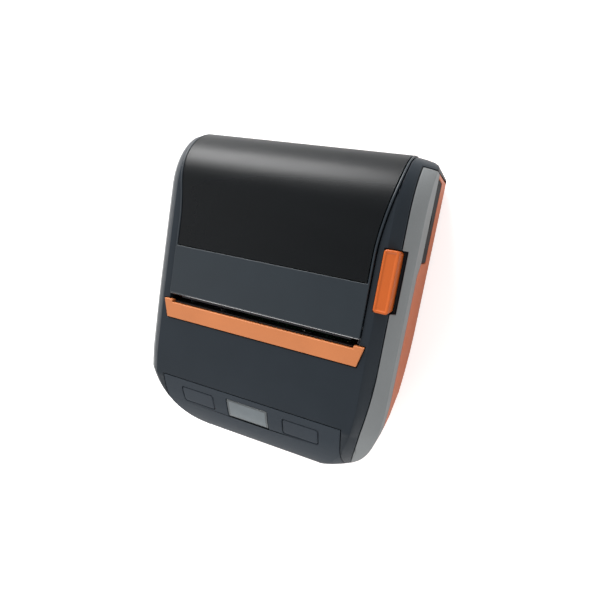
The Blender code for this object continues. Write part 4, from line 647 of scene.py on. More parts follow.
def face_height(y, inset=0):
    """Height of the front surface at y, for a surface set in by inset."""
    flat = FACE_HEIGHT - inset
    if y < COVER_FRONT_Y:
        flat -= FACE_FALL * (COVER_FRONT_Y - y) / (COVER_FRONT_Y - CHIN_LINE_Y)
    heights = [flat]
    if y > ROLL_Y:
        depth = ROLL_DEPTH - inset
        heights.append(ROLL_Z + (ROLL_DROP - inset) * circle_rise(1, (y - ROLL_Y) / depth))
    if y < CHIN_CENTRE[0]:
        heights.append(CHIN_CENTRE[1] + circle_rise(CHIN_RADIUS - inset, y - CHIN_CENTRE[0]))
    return min(heights)


def keel_height(y, inset=0):
    """Height of the back surface at y."""
    start = END_Y - END_EDGE_RADIUS
    if y > start:
        return FOOT_PROUD + END_EDGE_RADIUS - circle_rise(END_EDGE_RADIUS - inset, y - start)
    if y < KEEL_Y:
        rise = NOSE_BOTTOM - FOOT_PROUD - inset
        return NOSE_BOTTOM - rise * circle_rise(1, (KEEL_Y - y) / (KEEL_RISE_LENGTH - inset))
    return FOOT_PROUD + inset


def half_width(y, inset=0):
    far = END_Y - END_CORNER_LENGTH
    low = LOWER_CORNER_LENGTH - LOWER_CORNER_OVERHANG - END_Y
    if y > far:
        rise = circle_rise(1, (y - far) / (END_CORNER_LENGTH - inset))
        return HALF_WIDTH - END_CORNER_WIDTH + (END_CORNER_WIDTH - inset) * rise
    if y < low:
        rise = circle_rise(1, (low - y) / (LOWER_CORNER_LENGTH - inset))
        return HALF_WIDTH - LOWER_CORNER_WIDTH + (LOWER_CORNER_WIDTH - inset) * rise
    return HALF_WIDTH - inset


def section(y, inset):
    """Right half of the cross section at y, from the front face down to the back."""
    top = face_height(y, inset)
    low = keel_height(y, inset)
    side = half_width(y, inset)
    shoulder = SHOULDER - inset * SHOULDER_INSET_SHARE
    shoulder = min(shoulder, SHOULDER_LIMIT_SHARE * (top - low))
    growth = min(1, max(0, (BILGE_START_Y - y) / BILGE_GROWTH_LENGTH)) ** 2
    across = max(LEAST_RADIUS, BILGE_RADIUS + growth * BILGE_GROWTH_WIDTH - inset)
    up = max(LEAST_RADIUS, BILGE_RADIUS + growth * BILGE_GROWTH_HEIGHT - inset)
    up = min(up, top - low - shoulder - LEAST_RADIUS)
    points = []
    for angle in quarter(SHOULDER_STEPS):
        out = abs(math.sin(angle)) ** (2 / SHOULDER_POWER)
        rise = abs(math.cos(angle)) ** (2 / SHOULDER_POWER)
        points.append((side - shoulder * (1 - out), top - shoulder * (1 - rise)))
    for angle in quarter(BILGE_STEPS):
        points.append((side - across * (1 - math.cos(angle)), low + up * (1 - math.sin(angle))))
    return points


def stations(inset):
    """Places along Y: close together at the nose and the rolled end."""
    chin = CHIN_LINE_Y + END_Y
    flat = ROLL_Y - CHIN_LINE_Y
    places = [-END_Y + chin * (1 - math.cos(angle)) for angle in quarter(NOSE_STEPS)[:-1]]
    places += [CHIN_LINE_Y + flat * share for share in shares(MIDDLE_STEPS)[:-1]]
    places += [ROLL_Y + ROLL_DEPTH * math.sin(angle) for angle in quarter(ROLL_STEPS)]
    return [y * (END_Y - inset) / END_Y for y in places]


def form(inset=0):
    """The body's outer form, set in by inset."""
    return loft(
        [[(x, y, z) for x, z in mirrored(section(y, inset))] for y in stations(inset)]
    )


def below_parting(shift):
    """Everything behind the parting line, which shift raises."""
    step_y = PORT_START_Y - GAP
    line = [
        (END_Y + OVERRUN, PARTING_END + shift),
        (BAND_END_Y + shift, PARTING_END + shift),
        (BAND_END_Y + shift, PARTING_PORT + shift),
        (step_y, PARTING_PORT + shift),
        (step_y - PARTING_STEP_LENGTH, PARTING_SIDE + shift),
        (PARTING_NOSE_RISE_END_Y, PARTING_SIDE + shift),
        (PARTING_NOSE_RISE_START_Y, NOSE_BOTTOM + shift),
        (-END_Y - OVERRUN, NOSE_BOTTOM + shift),
        (-END_Y - OVERRUN, -OVERRUN),
        (END_Y + OVERRUN, -OVERRUN),
    ]
    return prism("X", line, -HALF_WIDTH - OVERRUN, HALF_WIDTH + OVERRUN)


def above_parting(shift):
    margin = OVERRUN / 2
    whole = middle_box(
        HALF_WIDTH + margin, (-END_Y - margin, -margin), (END_Y + margin, COVER_TOP + OVERRUN)
    )
    return cut(whole, below_parting(shift))


def band_edge(y):
    """Distance from the middle of a side band's edge on the front face."""
    share = (BAND_TAPER_START_Y - y) / (BAND_TAPER_START_Y - BAND_TAPER_END_Y)
    return BAND_EDGE_X - BAND_TAPER_WIDTH * min(1, max(0, share)) ** BAND_TAPER_POWER


def side_zone(side, clearance):
    """The region that a side band takes up in plan, made smaller by clearance."""
    outside = HALF_WIDTH + OVERRUN
    outline = [(outside, BAND_END_Y - clearance), (BAND_EDGE_X + clearance, BAND_END_Y - clearance)]
    for share in shares(TAPER_STEPS):
        y = BAND_TAPER_START_Y + (BAND_TAPER_END_Y - BAND_TAPER_START_Y) * share
        outline.append((band_edge(y) + clearance, y + clearance * share))
    tip_y = BAND_TAPER_END_Y - (outside - band_edge(BAND_TAPER_END_Y)) * BAND_TIP_SLOPE
    outline.append((outside, tip_y + clearance))
    return prism("Z", [(side * x, y) for x, y in outline], -OVERRUN, COVER_TOP + OVERRUN)


def nose_notch():
    """The shallow notch across the middle of the lower edge."""
    return middle_box(
        NOTCH_HALF,
        (-END_Y - OVERRUN, -OVERRUN),
        (-END_Y + NOTCH_DEPTH, NOSE_TOP + NOTCH_HEIGHT),
    )


# Paper cover outlines


def cover_half(y):
    share = min(1, max(0, (y - FLARE_START_Y) / FLARE_LENGTH))
    ease = (1 - math.cos(math.pi * share)) / 2
    return COVER_HALF_FRONT + (COVER_HALF_REAR - COVER_HALF_FRONT) * ease


def cover_plan(grow, start_y, end_y):
    """Plan outline of the cover, made wider by grow on each side."""
    flare = [FLARE_START_Y + FLARE_LENGTH * share for share in shares(FLARE_STEPS)]
    places = [start_y, *[y for y in flare if start_y < y < end_y], end_y]
    return mirrored([(cover_half(y) + grow, y) for y in places])


def cover_path(offset, arc_share=1.0):
    """Side view of the cover's rolled surface, from the start of the roll to its end."""
    depth = COVER_END_Y - ROLL_Y - offset
    rise = COVER_TOP - ROLL_Z - offset
    angles = [angle * arc_share for angle in quarter(COVER_ARC_STEPS)]
    return [(ROLL_Y + depth * math.sin(angle), ROLL_Z + rise * math.cos(angle)) for angle in angles]


def cover_profile():
    """Side view of the cover, with its turned-down and chamfered lip at the front."""
    lip_y = COVER_FRONT_Y + LIP_LENGTH
    upper = [(COVER_FRONT_Y + LIP_CHAMFER_LENGTH, COVER_TOP), *cover_path(0)]
    lower = [(lip_y + LIP_CHAMFER, COVER_TOP - COVER_WALL), *cover_path(COVER_WALL)]
    lip = []
    for angle in quarter(CORNER_STEPS):
        fall = (LIP_DEPTH - LIP_CHAMFER) * math.cos(angle)
        lip.append((lip_y - LIP_LENGTH * math.sin(angle), COVER_TOP - LIP_CHAMFER - fall))
    return upper + lower[::-1] + lip


def window_layer(start_y, outer, inner, margin, arc_share):
    """A layer of the cover between two depths, from start_y round the roll."""
    upper = [(start_y, COVER_TOP - outer), *cover_path(outer, arc_share)]
    lower = [(start_y, COVER_TOP - inner), *cover_path(inner, arc_share)]
    half = COVER_HALF_REAR + OVERRUN
    layer = prism("X", upper + lower[::-1], -half, half)
    plan = cover_plan(-margin, start_y - OVERRUN, END_Y + OVERRUN)
    return keep(layer, prism("Z", plan, 0, COVER_TOP + OVERRUN))


# Finishes


class Value:
    """An output socket of a node tree. Python's operators on it add Math nodes."""

    def __init__(self, graph, socket):
        self.graph = graph
        self.socket = socket

    def math(self, operation, first, second):
        return self.graph.node("ShaderNodeMath", {0: first, 1: second}, operation=operation)

    def __add__(self, other):
        return self.math("ADD", self, other)

    def __sub__(self, other):
        return self.math("SUBTRACT", self, other)

    def __rsub__(self, other):
        return self.math("SUBTRACT", other, self)

    def __mul__(self, other):
        return self.math("MULTIPLY", self, other)

    def __gt__(self, other):
        return self.math("GREATER_THAN", self, other)

    def __lt__(self, other):
        return self.math("LESS_THAN", self, other)

    __radd__ = __add__
    __rmul__ = __mul__


class Graph:
    """A node tree, and the one method that adds a node to it."""

    def __init__(self, tree):
        self.tree = tree

    def node(self, kind, sockets=None, output=0, **settings):
        """A node with its settings first, then a value or a link for each named socket."""
        node = self.tree.nodes.new(kind)
        for name, value in settings.items():
            setattr(node, name, value)
        for name, value in (sockets or {}).items():
            self.feed(node.inputs[name], value)
        return Value(self, node.outputs[output])

    def feed(self, socket, value):
        if isinstance(value, Value):
            self.tree.links.new(value.socket, socket)
        else:
            socket.default_value = value

    def split(self, vector):
        """The X, Y and Z of a vector."""
        node = self.node("ShaderNodeSeparateXYZ", {0: vector}).socket.node
        return [Value(self, socket) for socket in node.outputs]


class Finish(Graph):
    """A procedural material round one Principled shader."""

    def __init__(self, name, **uniform):
        self.material = bpy.data.materials.new(name)
        self.material.use_nodes = True
        super().__init__(self.material.node_tree)
        self.shader = self.tree.nodes["Principled BSDF"]
        self.dress(**uniform)
        self.place = self.node("ShaderNodeTexCoord", output="Object")

    def noise(self, size, detail=2.0, stretch=(1, 1, 1)):
        """Noise from 0 to 1, with blotches about size across and longer along stretch."""
        place = self.node(
            "ShaderNodeMapping", {"Vector": self.place, "Scale": [1 / share for share in stretch]}
        )
        sockets = {"Vector": place, "Scale": 1 / size, "Detail": detail}
        return self.node("ShaderNodeTexNoise", sockets)

    def mix(self, factor, first, second):
        sockets = {0: factor, 6: first, 7: second}
        return self.node("ShaderNodeMix", sockets, output=2, data_type="RGBA")

    def tint(self, base, factor, amount):
        """The base colour, a share of amount darker or lighter as factor goes from 0 to 1."""
        darker = [channel * (1 - amount) for channel in base]
        lighter = [min(1, channel * (1 + amount)) for channel in base]
        return self.mix(factor, (*darker, 1), (*lighter, 1))

    def bump(self, height, depth):
        return self.node("ShaderNodeBump", {"Strength": 1.0, "Distance": depth, "Height": height})

    def dress(self, **sockets):
        """Feeds the shader's sockets, each named by its label in lower case."""
        for name, value in sockets.items():
            label = name.replace("_", " ").title().replace("Ior", "IOR")
            self.feed(self.shader.inputs[label], value)
        return self.material


def moulded(name, base, rough, grain=1.0, depth=1.0, gloss_level=0.5, polished_lip=False):
    """Moulded plastic: fine grain, faint cloudiness and scuffs in the gloss.

    A polished lip is smoother and coated along the paper cover's front edge.
    """
    sizes = bpy.context.scene.printer_sizes
    finish = Finish(name, specular_ior_level=gloss_level)
    cloud = finish.noise(MOULDING_CLOUD)
    speck = finish.noise(sizes.grain * grain, 3.0)
    scuff = finish.noise(SCUFF, 4.0, (4, 1, 1))
    gloss = (cloud - 0.5) * 0.10 + (scuff - 0.5) * 0.08 + rough
    if polished_lip:
        lip = finish.split(finish.place)[1] < COVER_FRONT_Y + LIP_CHAMFER_LENGTH
        gloss = gloss - lip * (rough - LIP_ROUGHNESS)
        finish.dress(coat_weight=lip)
    return finish.dress(
        base_color=finish.tint(base, cloud * 0.6 + speck * 0.4, 0.16),
        roughness=gloss,
        normal=finish.bump(speck, sizes.grain_depth * depth),
    )


def smoked(name, base):
    """Polished smoked plastic with a trace of orange peel and handling marks."""
    finish = Finish(name, alpha=0.94, specular_ior_level=0.2)
    peel = finish.noise(PEEL, 1.0)
    smear = finish.noise(SMEAR, 5.0, (3, 1, 1))
    return finish.dress(
        base_color=finish.tint(base, smear, 0.25),
        roughness=(smear - 0.5) * 0.10 + 0.36,
        normal=finish.bump(peel, PEEL_DEPTH),
    )


def rubbery(name, base):
    """Soft rubber: matt, dusty in patches, with an even ground grain."""
    finish = Finish(name, specular_ior_level=0.3)
    dust = finish.noise(DUST, 5.0)
    speck = finish.noise(RUBBER_GRAIN)
    return finish.dress(
        base_color=finish.tint(base, dust, 0.35),
        roughness=dust * 0.12 + 0.72,
        normal=finish.bump(speck, RUBBER_GRAIN_DEPTH),
    )


def metal(name, base, rough, stretch):
    """Drawn or ground metal, with fine lines along the stretch and cloudy gloss."""
    finish = Finish(name, metallic=1.0)
    line = finish.noise(METAL_LINE, 3.0, stretch)
    cloud = finish.noise(METAL_CLOUD, 3.0)
    return finish.dress(
        base_color=finish.tint(base, cloud * 0.5 + line * 0.5, 0.14),
        roughness=(line - 0.5) * 0.16 + (cloud - 0.5) * 0.10 + rough,
        normal=finish.bump(line, METAL_LINE_DEPTH),
    )


def circuit_board(name):
    """Green solder resist over copper tracks, with plated through holes."""
    finish = Finish(name, coat_weight=0.4, coat_roughness=0.15)
    tracks = finish.node(
        "ShaderNodeTexBrick",
        {
            "Vector": finish.place,
            "Scale": 1 / TRACK_LENGTH,
            "Mortar Size": 0.05,
            "Color1": (0, 0, 0, 1),
            "Color2": (0, 0, 0, 1),
            "Mortar": (1, 1, 1, 1),
        },
    )
    holes = finish.node(
        "ShaderNodeTexVoronoi", {"Vector": finish.place, "Scale": 1 / HOLE_PITCH, "Randomness": 0.7}
    )
    hole = holes < 0.14
    resist = finish.mix(tracks, (0.006, 0.060, 0.022, 1), (0.020, 0.150, 0.050, 1))
    cloud = finish.noise(BOARD_CLOUD, 3.0)
    return finish.dress(
        base_color=finish.mix(hole, resist, (0.62, 0.55, 0.36, 1)),
        metallic=hole,
        roughness=cloud * 0.15 + 0.30,
        normal=finish.bump(tracks, TRACK_DEPTH),
    )


def display_pane(name, base):
    """A reflective display: a pale cell behind glass, with faint pixel rows and a soft border."""
    finish = Finish(name, coat_weight=1.0, coat_roughness=0.04)
    pane = finish.node("ShaderNodeUVMap", uv_map="pane")
    across, along, _ = finish.split(pane)
    inside = (across > 0.05) * (across < 0.95) * (along > 0.09) * (along < 0.91)
    pixels = finish.node(
        "ShaderNodeTexWave", {"Vector": pane, "Scale": 18.0, "Distortion": 0.0}, bands_direction="Y"
    )
    cloud = finish.noise(PANE_CLOUD)
    cell = finish.tint(base, cloud * 0.7 + pixels * 0.3, 0.14)
    border = (*[channel * 0.45 for channel in base], 1)
    return finish.dress(
        base_color=finish.mix(inside, border, cell),
        roughness=cloud * 0.08 + 0.16,
        normal=finish.bump(pixels, PIXEL_DEPTH),
    )


def glazed(name, base):
    """Glazed ceramic with a fine fired texture."""
    finish = Finish(name, coat_weight=0.3)
    cloud = finish.noise(GLAZE_CLOUD, 4.0)
    speck = finish.noise(GLAZE_SPECK)
    return finish.dress(
        base_color=finish.tint(base, cloud, 0.08),
        roughness=speck * 0.12 + 0.22,
        normal=finish.bump(speck, GLAZE_DEPTH),
    )


# The finish of each slot in the record, and of the tear bar, which is paler than the other
# orange pieces: its paler orange is painted sheen, standing in for the light that it catches
FINISHES = {
    "black_plastic": lambda name, tint: moulded(name, tint.black, 0.42, gloss_level=0.2),
    "cover_plastic": lambda name, tint: moulded(
        name, tint.cover, 0.40, gloss_level=0.4, polished_lip=True
    ),
    "smoked_window": lambda name, tint: smoked(name, tint.window),
    "panel_plastic": lambda name, tint: moulded(name, tint.panel, 0.52, gloss_level=0.12),
    "key_plastic": lambda name, tint: moulded(name, tint.key, 0.52, gloss_level=0.12),
    "grey_plastic": lambda name, tint: moulded(name, tint.grey, 0.55, 1.3, 3.0),
    "orange_plastic": lambda name, tint: moulded(name, tint.orange, 0.40, 0.8),
    "bar_orange": lambda name, tint: moulded(name, tint.bar, 0.45, 0.8),
    "display_glass": lambda name, tint: display_pane(name, tint.display),
    "display_frame": lambda name, tint: moulded(name, (0.08, 0.09, 0.10), 0.5),
    "rubber": lambda name, tint: rubbery(name, tint.rubber),
    "steel": lambda name, tint: metal(name, (0.62, 0.62, 0.64), 0.30, (1, 1, 6)),
    "blade_steel": lambda name, tint: metal(name, (0.06, 0.06, 0.065), 0.50, (1, 1, 8)),
    "aluminium": lambda name, tint: metal(name, (0.05, 0.05, 0.055), 0.45, (12, 1, 1)),
    "ceramic": lambda name, tint: glazed(name, (0.70, 0.68, 0.62)),
    "gear_plastic": lambda name, tint: moulded(name, (0.66, 0.64, 0.56), 0.45, 0.5, 0.6),
    "frame_metal": lambda name, tint: metal(name, (0.42, 0.43, 0.45), 0.40, (14, 14, 1)),
    "motor_metal": lambda name, tint: metal(name, (0.32, 0.32, 0.33), 0.42, (10, 1, 1)),
    "bin_plastic": lambda name, tint: moulded(name, (0.016, 0.016, 0.018), 0.52),
    "board_green": lambda name, tint: circuit_board(name),
    "switch_plastic": lambda name, tint: moulded(name, (0.05, 0.05, 0.05), 0.5, 0.5),
    "connector_metal": lambda name, tint: metal(name, (0.55, 0.55, 0.56), 0.32, (1, 8, 1)),
    "connector_plastic": lambda name, tint: moulded(name, (0.03, 0.03, 0.03), 0.5, 0.5),
    "battery_plastic": lambda name, tint: moulded(name, (0.020, 0.022, 0.026), 0.5, 1.2, 2.0),
    "bush_plastic": lambda name, tint: moulded(name, (0.60, 0.58, 0.52), 0.5, 0.5),
}


def finish_of(slot):
    """The material of a slot of the record, made the first time that it is asked for."""
    name = f"{slot}_finish"
    found = bpy.data.materials.get(name)
    return found or FINISHES[slot](name, bpy.context.scene.printer_colours)


def fit(obj, name, nodes, body, slot, finish=None):
    """Names a finished piece and puts it on the body and in the place of its CAD nodes."""
    obj.name = obj.data.name = name
    obj.data.materials.clear()
    obj.data.materials.append(finish_of(finish or slot))
    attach(obj, body)
    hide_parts(*nodes)
    return obj


# Geometry Nodes


class Repeat(Graph):
    """A Geometry Nodes tree with named inputs, whose result becomes a plain mesh."""

    KINDS = {float: "NodeSocketFloat", int: "NodeSocketInt", tuple: "NodeSocketVector"}

    def __init__(self, name, **inputs):
        tree = bpy.data.node_groups.new(name, "GeometryNodeTree")
        super().__init__(tree)
        tree.interface.new_socket("Geometry", in_out="OUTPUT", socket_type="NodeSocketGeometry")
        tree.interface.new_socket("Geometry", in_out="INPUT", socket_type="NodeSocketGeometry")
        self.identifiers = {}
        for label, value in inputs.items():
            kind = self.KINDS[type(value)]
            socket = tree.interface.new_socket(label, in_out="INPUT", socket_type=kind)
            self.identifiers[socket.identifier] = value
        source = tree.nodes.new("NodeGroupInput")
        self.inputs = {socket.name: Value(self, socket) for socket in source.outputs}

    def __getitem__(self, label):
        return self.inputs[label]

    def make(self, geometry, slot, base=None):
        """Ends the tree, runs it on base's mesh and gives back the result as a plain object."""
        real = self.node("GeometryNodeRealizeInstances", {0: geometry})
        dressed = self.node("GeometryNodeSetMaterial", {0: real, "Material": finish_of(slot)})
        target = self.tree.nodes.new("NodeGroupOutput")
        self.tree.links.new(dressed.socket, target.inputs[0])
        obj = base or new_object(self.tree.name, bpy.data.meshes.new(self.tree.name))
        modifier = obj.modifiers.new(self.tree.name, "NODES")
        modifier.node_group = self.tree
        for identifier, value in self.identifiers.items():
            modifier[identifier] = value
        return apply_modifiers(obj)

    def copies(self, points, geometry):
        sockets = {"Points": points, "Instance": geometry}
        return self.node("GeometryNodeInstanceOnPoints", sockets)

    def ring(self, sides, radius):
        sockets = {"Resolution": sides, "Radius": radius}
        return self.node("GeometryNodeCurvePrimitiveCircle", sockets)

    def vector(self, **places):
        return self.node("ShaderNodeCombineXYZ", places)

    def moved(self, geometry, **sockets):
        return self.node("GeometryNodeTransform", {"Geometry": geometry, **sockets})

    def join(self, *parts):
        node = self.tree.nodes.new("GeometryNodeJoinGeometry")
        for part in reversed(parts):
            self.tree.links.new(part.socket, node.inputs[0])
        return Value(self, node.outputs[0])


def coil_spring(name, start, reach, turn, radius, turns):
    """A compression spring with closed end turns, from start for reach along the turned Z."""
    tree = Repeat(
        name,
        turns=float(turns),
        coil_radius=radius,
        wire_radius=SPRING_WIRE,
        reach=reach - 2 * SPRING_WIRE,
        start=tuple(start),
        turn=turn,
    )
    path = tree.node(
        "GeometryNodeCurveSpiral",
        {
            "Resolution": SMALL_SIDES,
            "Rotations": tree["turns"],
            "Start Radius": tree["coil_radius"],
            "End Radius": tree["coil_radius"],
            "Height": tree["reach"],
        },
    )
    ring = tree.ring(SMALL_SIDES, tree["coil_radius"])
    far_ring = tree.moved(ring, Translation=tree.vector(Z=tree["reach"]))
    profile = tree.ring(WIRE_SIDES, tree["wire_radius"])
    wires = tree.node(
        "GeometryNodeCurveToMesh",
        {"Curve": tree.join(path, ring, far_ring), "Profile Curve": profile, "Fill Caps": True},
    )
    lifted = tree.moved(wires, Translation=tree.vector(Z=tree["wire_radius"]))
    placed = tree.moved(lifted, Translation=tree["start"], Rotation=tree["turn"])
    smooth = tree.node("GeometryNodeSetShadeSmooth", {"Geometry": placed})
    return tree.make(smooth, "steel")


def fitted_spring(node, name, axis, turn, radius, turns):
    """A compression spring along axis in the place of a CAD spring, as long as its box."""
    low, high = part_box(node)
    start = [(first + last) / 2 for first, last in zip(low, high)]
    start[axis] = low[axis]
    spring = coil_spring(name, start, high[axis] - low[axis], turn, radius, turns)
    fit(spring, name, [node], "body", "steel")


def mirrored_pairs(name, base, slot, front, rear):
    """Copies of the base piece at two places on the right and two on the left."""
    tree = Repeat(name, front_x=front[0], front_y=front[1], rear_x=rear[0], rear_y=rear[1])
    rows = []
    for across, along in (("front_x", "front_y"), ("rear_x", "rear_y")):
        ends = [tree.vector(X=tree[across] * side, Y=tree[along]) for side in (-1.0, 1.0)]
        rows.append(
            tree.node(
                "GeometryNodeMeshLine",
                {"Count": 2, "Start Location": ends[0], "Offset": ends[1]},
                mode="END_POINTS",
            )
        )
    copies = tree.copies(tree.join(*rows), tree["Geometry"])
    return tree.make(copies, slot, base)


def tear_teeth(teeth):
    """A thin blade whose top edge is a row of teeth."""
    half = SLOT_HALF - 2 * GAP
    top = FACE_HEIGHT - BLADE_TOP_DROP
    tree = Repeat(
        "tear_teeth",
        teeth=teeth,
        width=2 * half,
        height=BLADE_HEIGHT,
        tooth_depth=BLADE_TOOTH_DEPTH,
        thickness=BLADE_WALL,
        middle=(0.0, SLOT_Y + GAP, top - BLADE_HEIGHT / 2),
    )
    grid = tree.node(
        "GeometryNodeMeshGrid",
        {
            "Size X": tree["width"],
            "Size Y": tree["height"],
            "Vertices X": tree["teeth"] * 2 + 1,
            "Vertices Y": 2,
        },
    )
    across, up, _ = tree.split(tree.node("GeometryNodeInputPosition"))
    index = tree.node("GeometryNodeInputIndex")
    column = tree.node("ShaderNodeMath", {0: index * 0.5 + 0.1}, operation="FLOOR")
    valley = tree.node("ShaderNodeMath", {0: column + 1, 1: 2.0}, operation="MODULO")
    drop = valley * (up > 0.0) * tree["tooth_depth"]
    upright = tree.vector(X=across, Z=up - drop)
    face = tree.node("GeometryNodeSetPosition", {"Geometry": grid, "Position": upright})
    front = tree.node("GeometryNodeFlipFaces", {"Mesh": face})
    depth = tree.vector(Y=tree["thickness"])
    back = tree.node(
        "GeometryNodeExtrudeMesh",
        {"Mesh": face, "Offset": depth, "Offset Scale": 1.0, "Individual": False},
    )
    solid = tree.node(
        "GeometryNodeMergeByDistance", {"Geometry": tree.join(front, back), "Distance": WELD}
    )
    return tree.make(tree.moved(solid, Translation=tree["middle"]), "blade_steel")


# Pieces


def chin_matrix():
    """Frame of the keys: +Y up along the chin and +Z out of it, at the chin's surface."""
    out = Vector((0, KEY_Y - CHIN_CENTRE[0], face_height(KEY_Y) - CHIN_CENTRE[1])).normalized()
    across = Vector((1, 0, 0))
    turn = Matrix((across, out.cross(across), out)).transposed().to_4x4()
    return Matrix.Translation((0, KEY_Y, face_height(KEY_Y))) @ turn


def on_chin(obj):
    obj.data.transform(chin_matrix())
    return obj


def key_outline(side, grow):
    half_x, half_y = KEY_HALF - GAP + grow, KEY_HALF_HEIGHT - GAP + grow
    return rounded_rectangle((side * KEY_X, 0), half_x, half_y, KEY_CORNER)


def display_outline(grow):
    half_x, half_y = DISPLAY_HALF + grow, DISPLAY_HALF_HEIGHT + grow
    return rounded_rectangle((0, 0), half_x, half_y, KEY_CORNER / 2)


def chin_holes(grow):
    outlines = [key_outline(side, GAP + grow) for side in (-1, 1)] + [display_outline(GAP + grow)]
    return [on_chin(prism("Z", outline, -OVERRUN, OVERRUN)) for outline in outlines]


def panel_zone(clearance):
    """The region of the chin panel, made larger by clearance."""
    return middle_box(
        PANEL_HALF + clearance,
        (-END_Y - OVERRUN, PANEL_LOW_Z - clearance),
        (CHIN_LINE_Y + clearance, COVER_TOP + OVERRUN),
    )


def tear_outline(grow, with_slot):
    right = [
        (TEAR_BOTTOM_HALF + grow, TEAR_BOTTOM_Y - grow),
        (TEAR_TOP_HALF + grow, TEAR_TOP_Y + grow),
    ]
    if with_slot:
        right += [(SLOT_HALF, TEAR_TOP_Y + grow), (SLOT_HALF, SLOT_Y)]
    return mirrored(right)


def latch_box(across, half, up):
    """A box beside the latch: its two places across, half its length and its two heights."""
    return box((across[0], LATCH_Y - half, up[0]), (across[1], LATCH_Y + half, up[1]))


def latch_pocket():
    """The hole for the latch button, with the room beside it that it slides into."""
    return box(
        (LATCH_X - GAP, LATCH_START_Y - GAP, LATCH_FLOOR_Z),
        (LATCH_X + LATCH_WIDTH + LATCH_TRAVEL + GAP, LATCH_END_Y + GAP, COVER_TOP + OVERRUN),
    )


def latch_slots():
    """Slots for the latch's tail, through the pocket's floor, and its nub, through the rail."""
    tail = latch_box(
        (LATCH_X - GAP, LATCH_X + LATCH_TAIL_WALL + LATCH_TRAVEL + GAP),
        LATCH_TAIL_HALF + GAP,
        (LATCH_FLOOR_Z - OVERRUN / 2, LATCH_FLOOR_Z + GAP),
    )
    top = LATCH_TOP - LATCH_NUB_DROP
    nub = latch_box(
        (COVER_HALF_FRONT - GAP, LATCH_X),
        LATCH_NUB_HALF + GAP,
        (top - LATCH_NUB_WALL - GAP, top + GAP),
    )
    return [tail, nub]


def inside_bands(obj):
    """What of a piece lies behind the side bands' inner faces."""
    return keep(obj, form(BAND_WALL + GAP))


def latch_housing():
    margin = GAP + HOUSING_WALL
    housing = box(
        (LATCH_X - margin, LATCH_START_Y - margin, LATCH_FLOOR_Z - HOUSING_WALL),
        (HALF_WIDTH, LATCH_END_Y + margin, FACE_HEIGHT - FRONT_WALL / 2),
    )
    return inside_bands(housing)


def hinge_bosses():
    bosses = []
    for side in (-1, 1):
        inner = COVER_HALF_REAR + 2 * GAP
        ends = sorted((side * inner, side * (inner + HINGE_BOSS_WIDTH)))
        boss = box(
            (ends[0], HINGE_Y - HINGE_BOSS_HALF, HINGE_Z - HINGE_BOSS_HALF),
            (ends[1], END_Y, HINGE_Z + HINGE_BOSS_HALF),
        )
        bosses.append(inside_bands(boss))
    return bosses


def front_posts():
    return [
        inside_bands(cylinder("Z", place, POST_RADIUS, POST_LOW_Z, FACE_HEIGHT, SMALL_SIDES))
        for place in both_sides(REAR_SCREW, FRONT_SCREW)
    ]


def front_shell(edge):
    shell = form()
    for side in (-1, 1):
        cut(shell, cut(side_zone(side, 0), form(BAND_WALL + GAP)))
    cut(shell, below_parting(GAP / 2), form(FRONT_WALL), nose_notch())
    join(shell, latch_housing(), *hinge_bosses(), *front_posts())
    opening = cover_plan(GAP, THROAT_Y, END_Y + OVERRUN)
    cut(shell, prism("Z", opening, HINGE_REST_Z, COVER_TOP + OVERRUN))
    seat_z = FACE_HEIGHT - TEAR_DEPTH - GAP
    cut(shell, prism("Z", tear_outline(GAP, False), seat_z, COVER_TOP + OVERRUN))
    panel = cut(panel_zone(GAP), form(PANEL_WALL + GAP))
    cut(shell, panel, *chin_holes(GAP), latch_pocket(), *latch_slots())
    pin_end = COVER_HALF_REAR + HINGE_PIN_REACH + GAP
    pin = rod((HINGE_Y, HINGE_Z), HINGE_PIN_RADIUS + GAP, pin_end)
    holes = [
        cylinder("Z", place, SCREW_RADIUS + GAP, 0, POST_LOW_Z + SCREW_REACH + GAP, SMALL_SIDES)
        for place in both_sides(REAR_SCREW, FRONT_SCREW)
    ]
    cut(shell, pin, *holes)
    return round_edges(shell, edge)


def side_band(side, edge):
    band = cut(side_zone(side, GAP), below_parting(GAP / 2))
    if side > 0:
        cut(band, latch_pocket())
    keep(band, form())
    cut(band, form(BAND_WALL))
    return round_edges(band, edge)


def battery_plan(grow):
    middle = (BATTERY_LOW.y + BATTERY_HIGH.y) / 2
    half_y = (BATTERY_HIGH.y - BATTERY_LOW.y) / 2 + grow
    return rounded_rectangle((0, middle), BATTERY_HIGH.x + grow, half_y, BATTERY_CORNER + grow)


def slider_cutters():
    """The thumb slot through the back, and the tongue's window in the bay wall."""
    slot = middle_box(
        SLIDER_HALF + GAP,
        (SLIDER_START_Y - GAP, -OVERRUN),
        (SLIDER_END_Y + SLIDER_TRAVEL + GAP, FOOT_PROUD + 2 * BACK_WALL),
    )
    floor = FOOT_PROUD + BACK_WALL + GAP / 2
    window = middle_box(
        SLIDER_TONGUE_HALF + GAP,
        (BATTERY_HIGH.y, floor),
        (SLIDER_START_Y, floor + SLIDER_FLANGE_WALL + 2 * GAP),
    )
    return [slot, window]


def port_block():
    """The thickened wall of the back shell that holds the sockets and their cover."""
    start_y = PORT_START_Y - PORT_BLOCK_MARGIN
    block = box(
        (PORT_FACE_X - PORT_BLOCK_WALL, start_y, FOOT_PROUD + BACK_WALL / 2),
        (HALF_WIDTH, BAND_END_Y - GAP, PARTING_PORT - GAP),
    )
    return keep(block, form(LEAST_RADIUS))


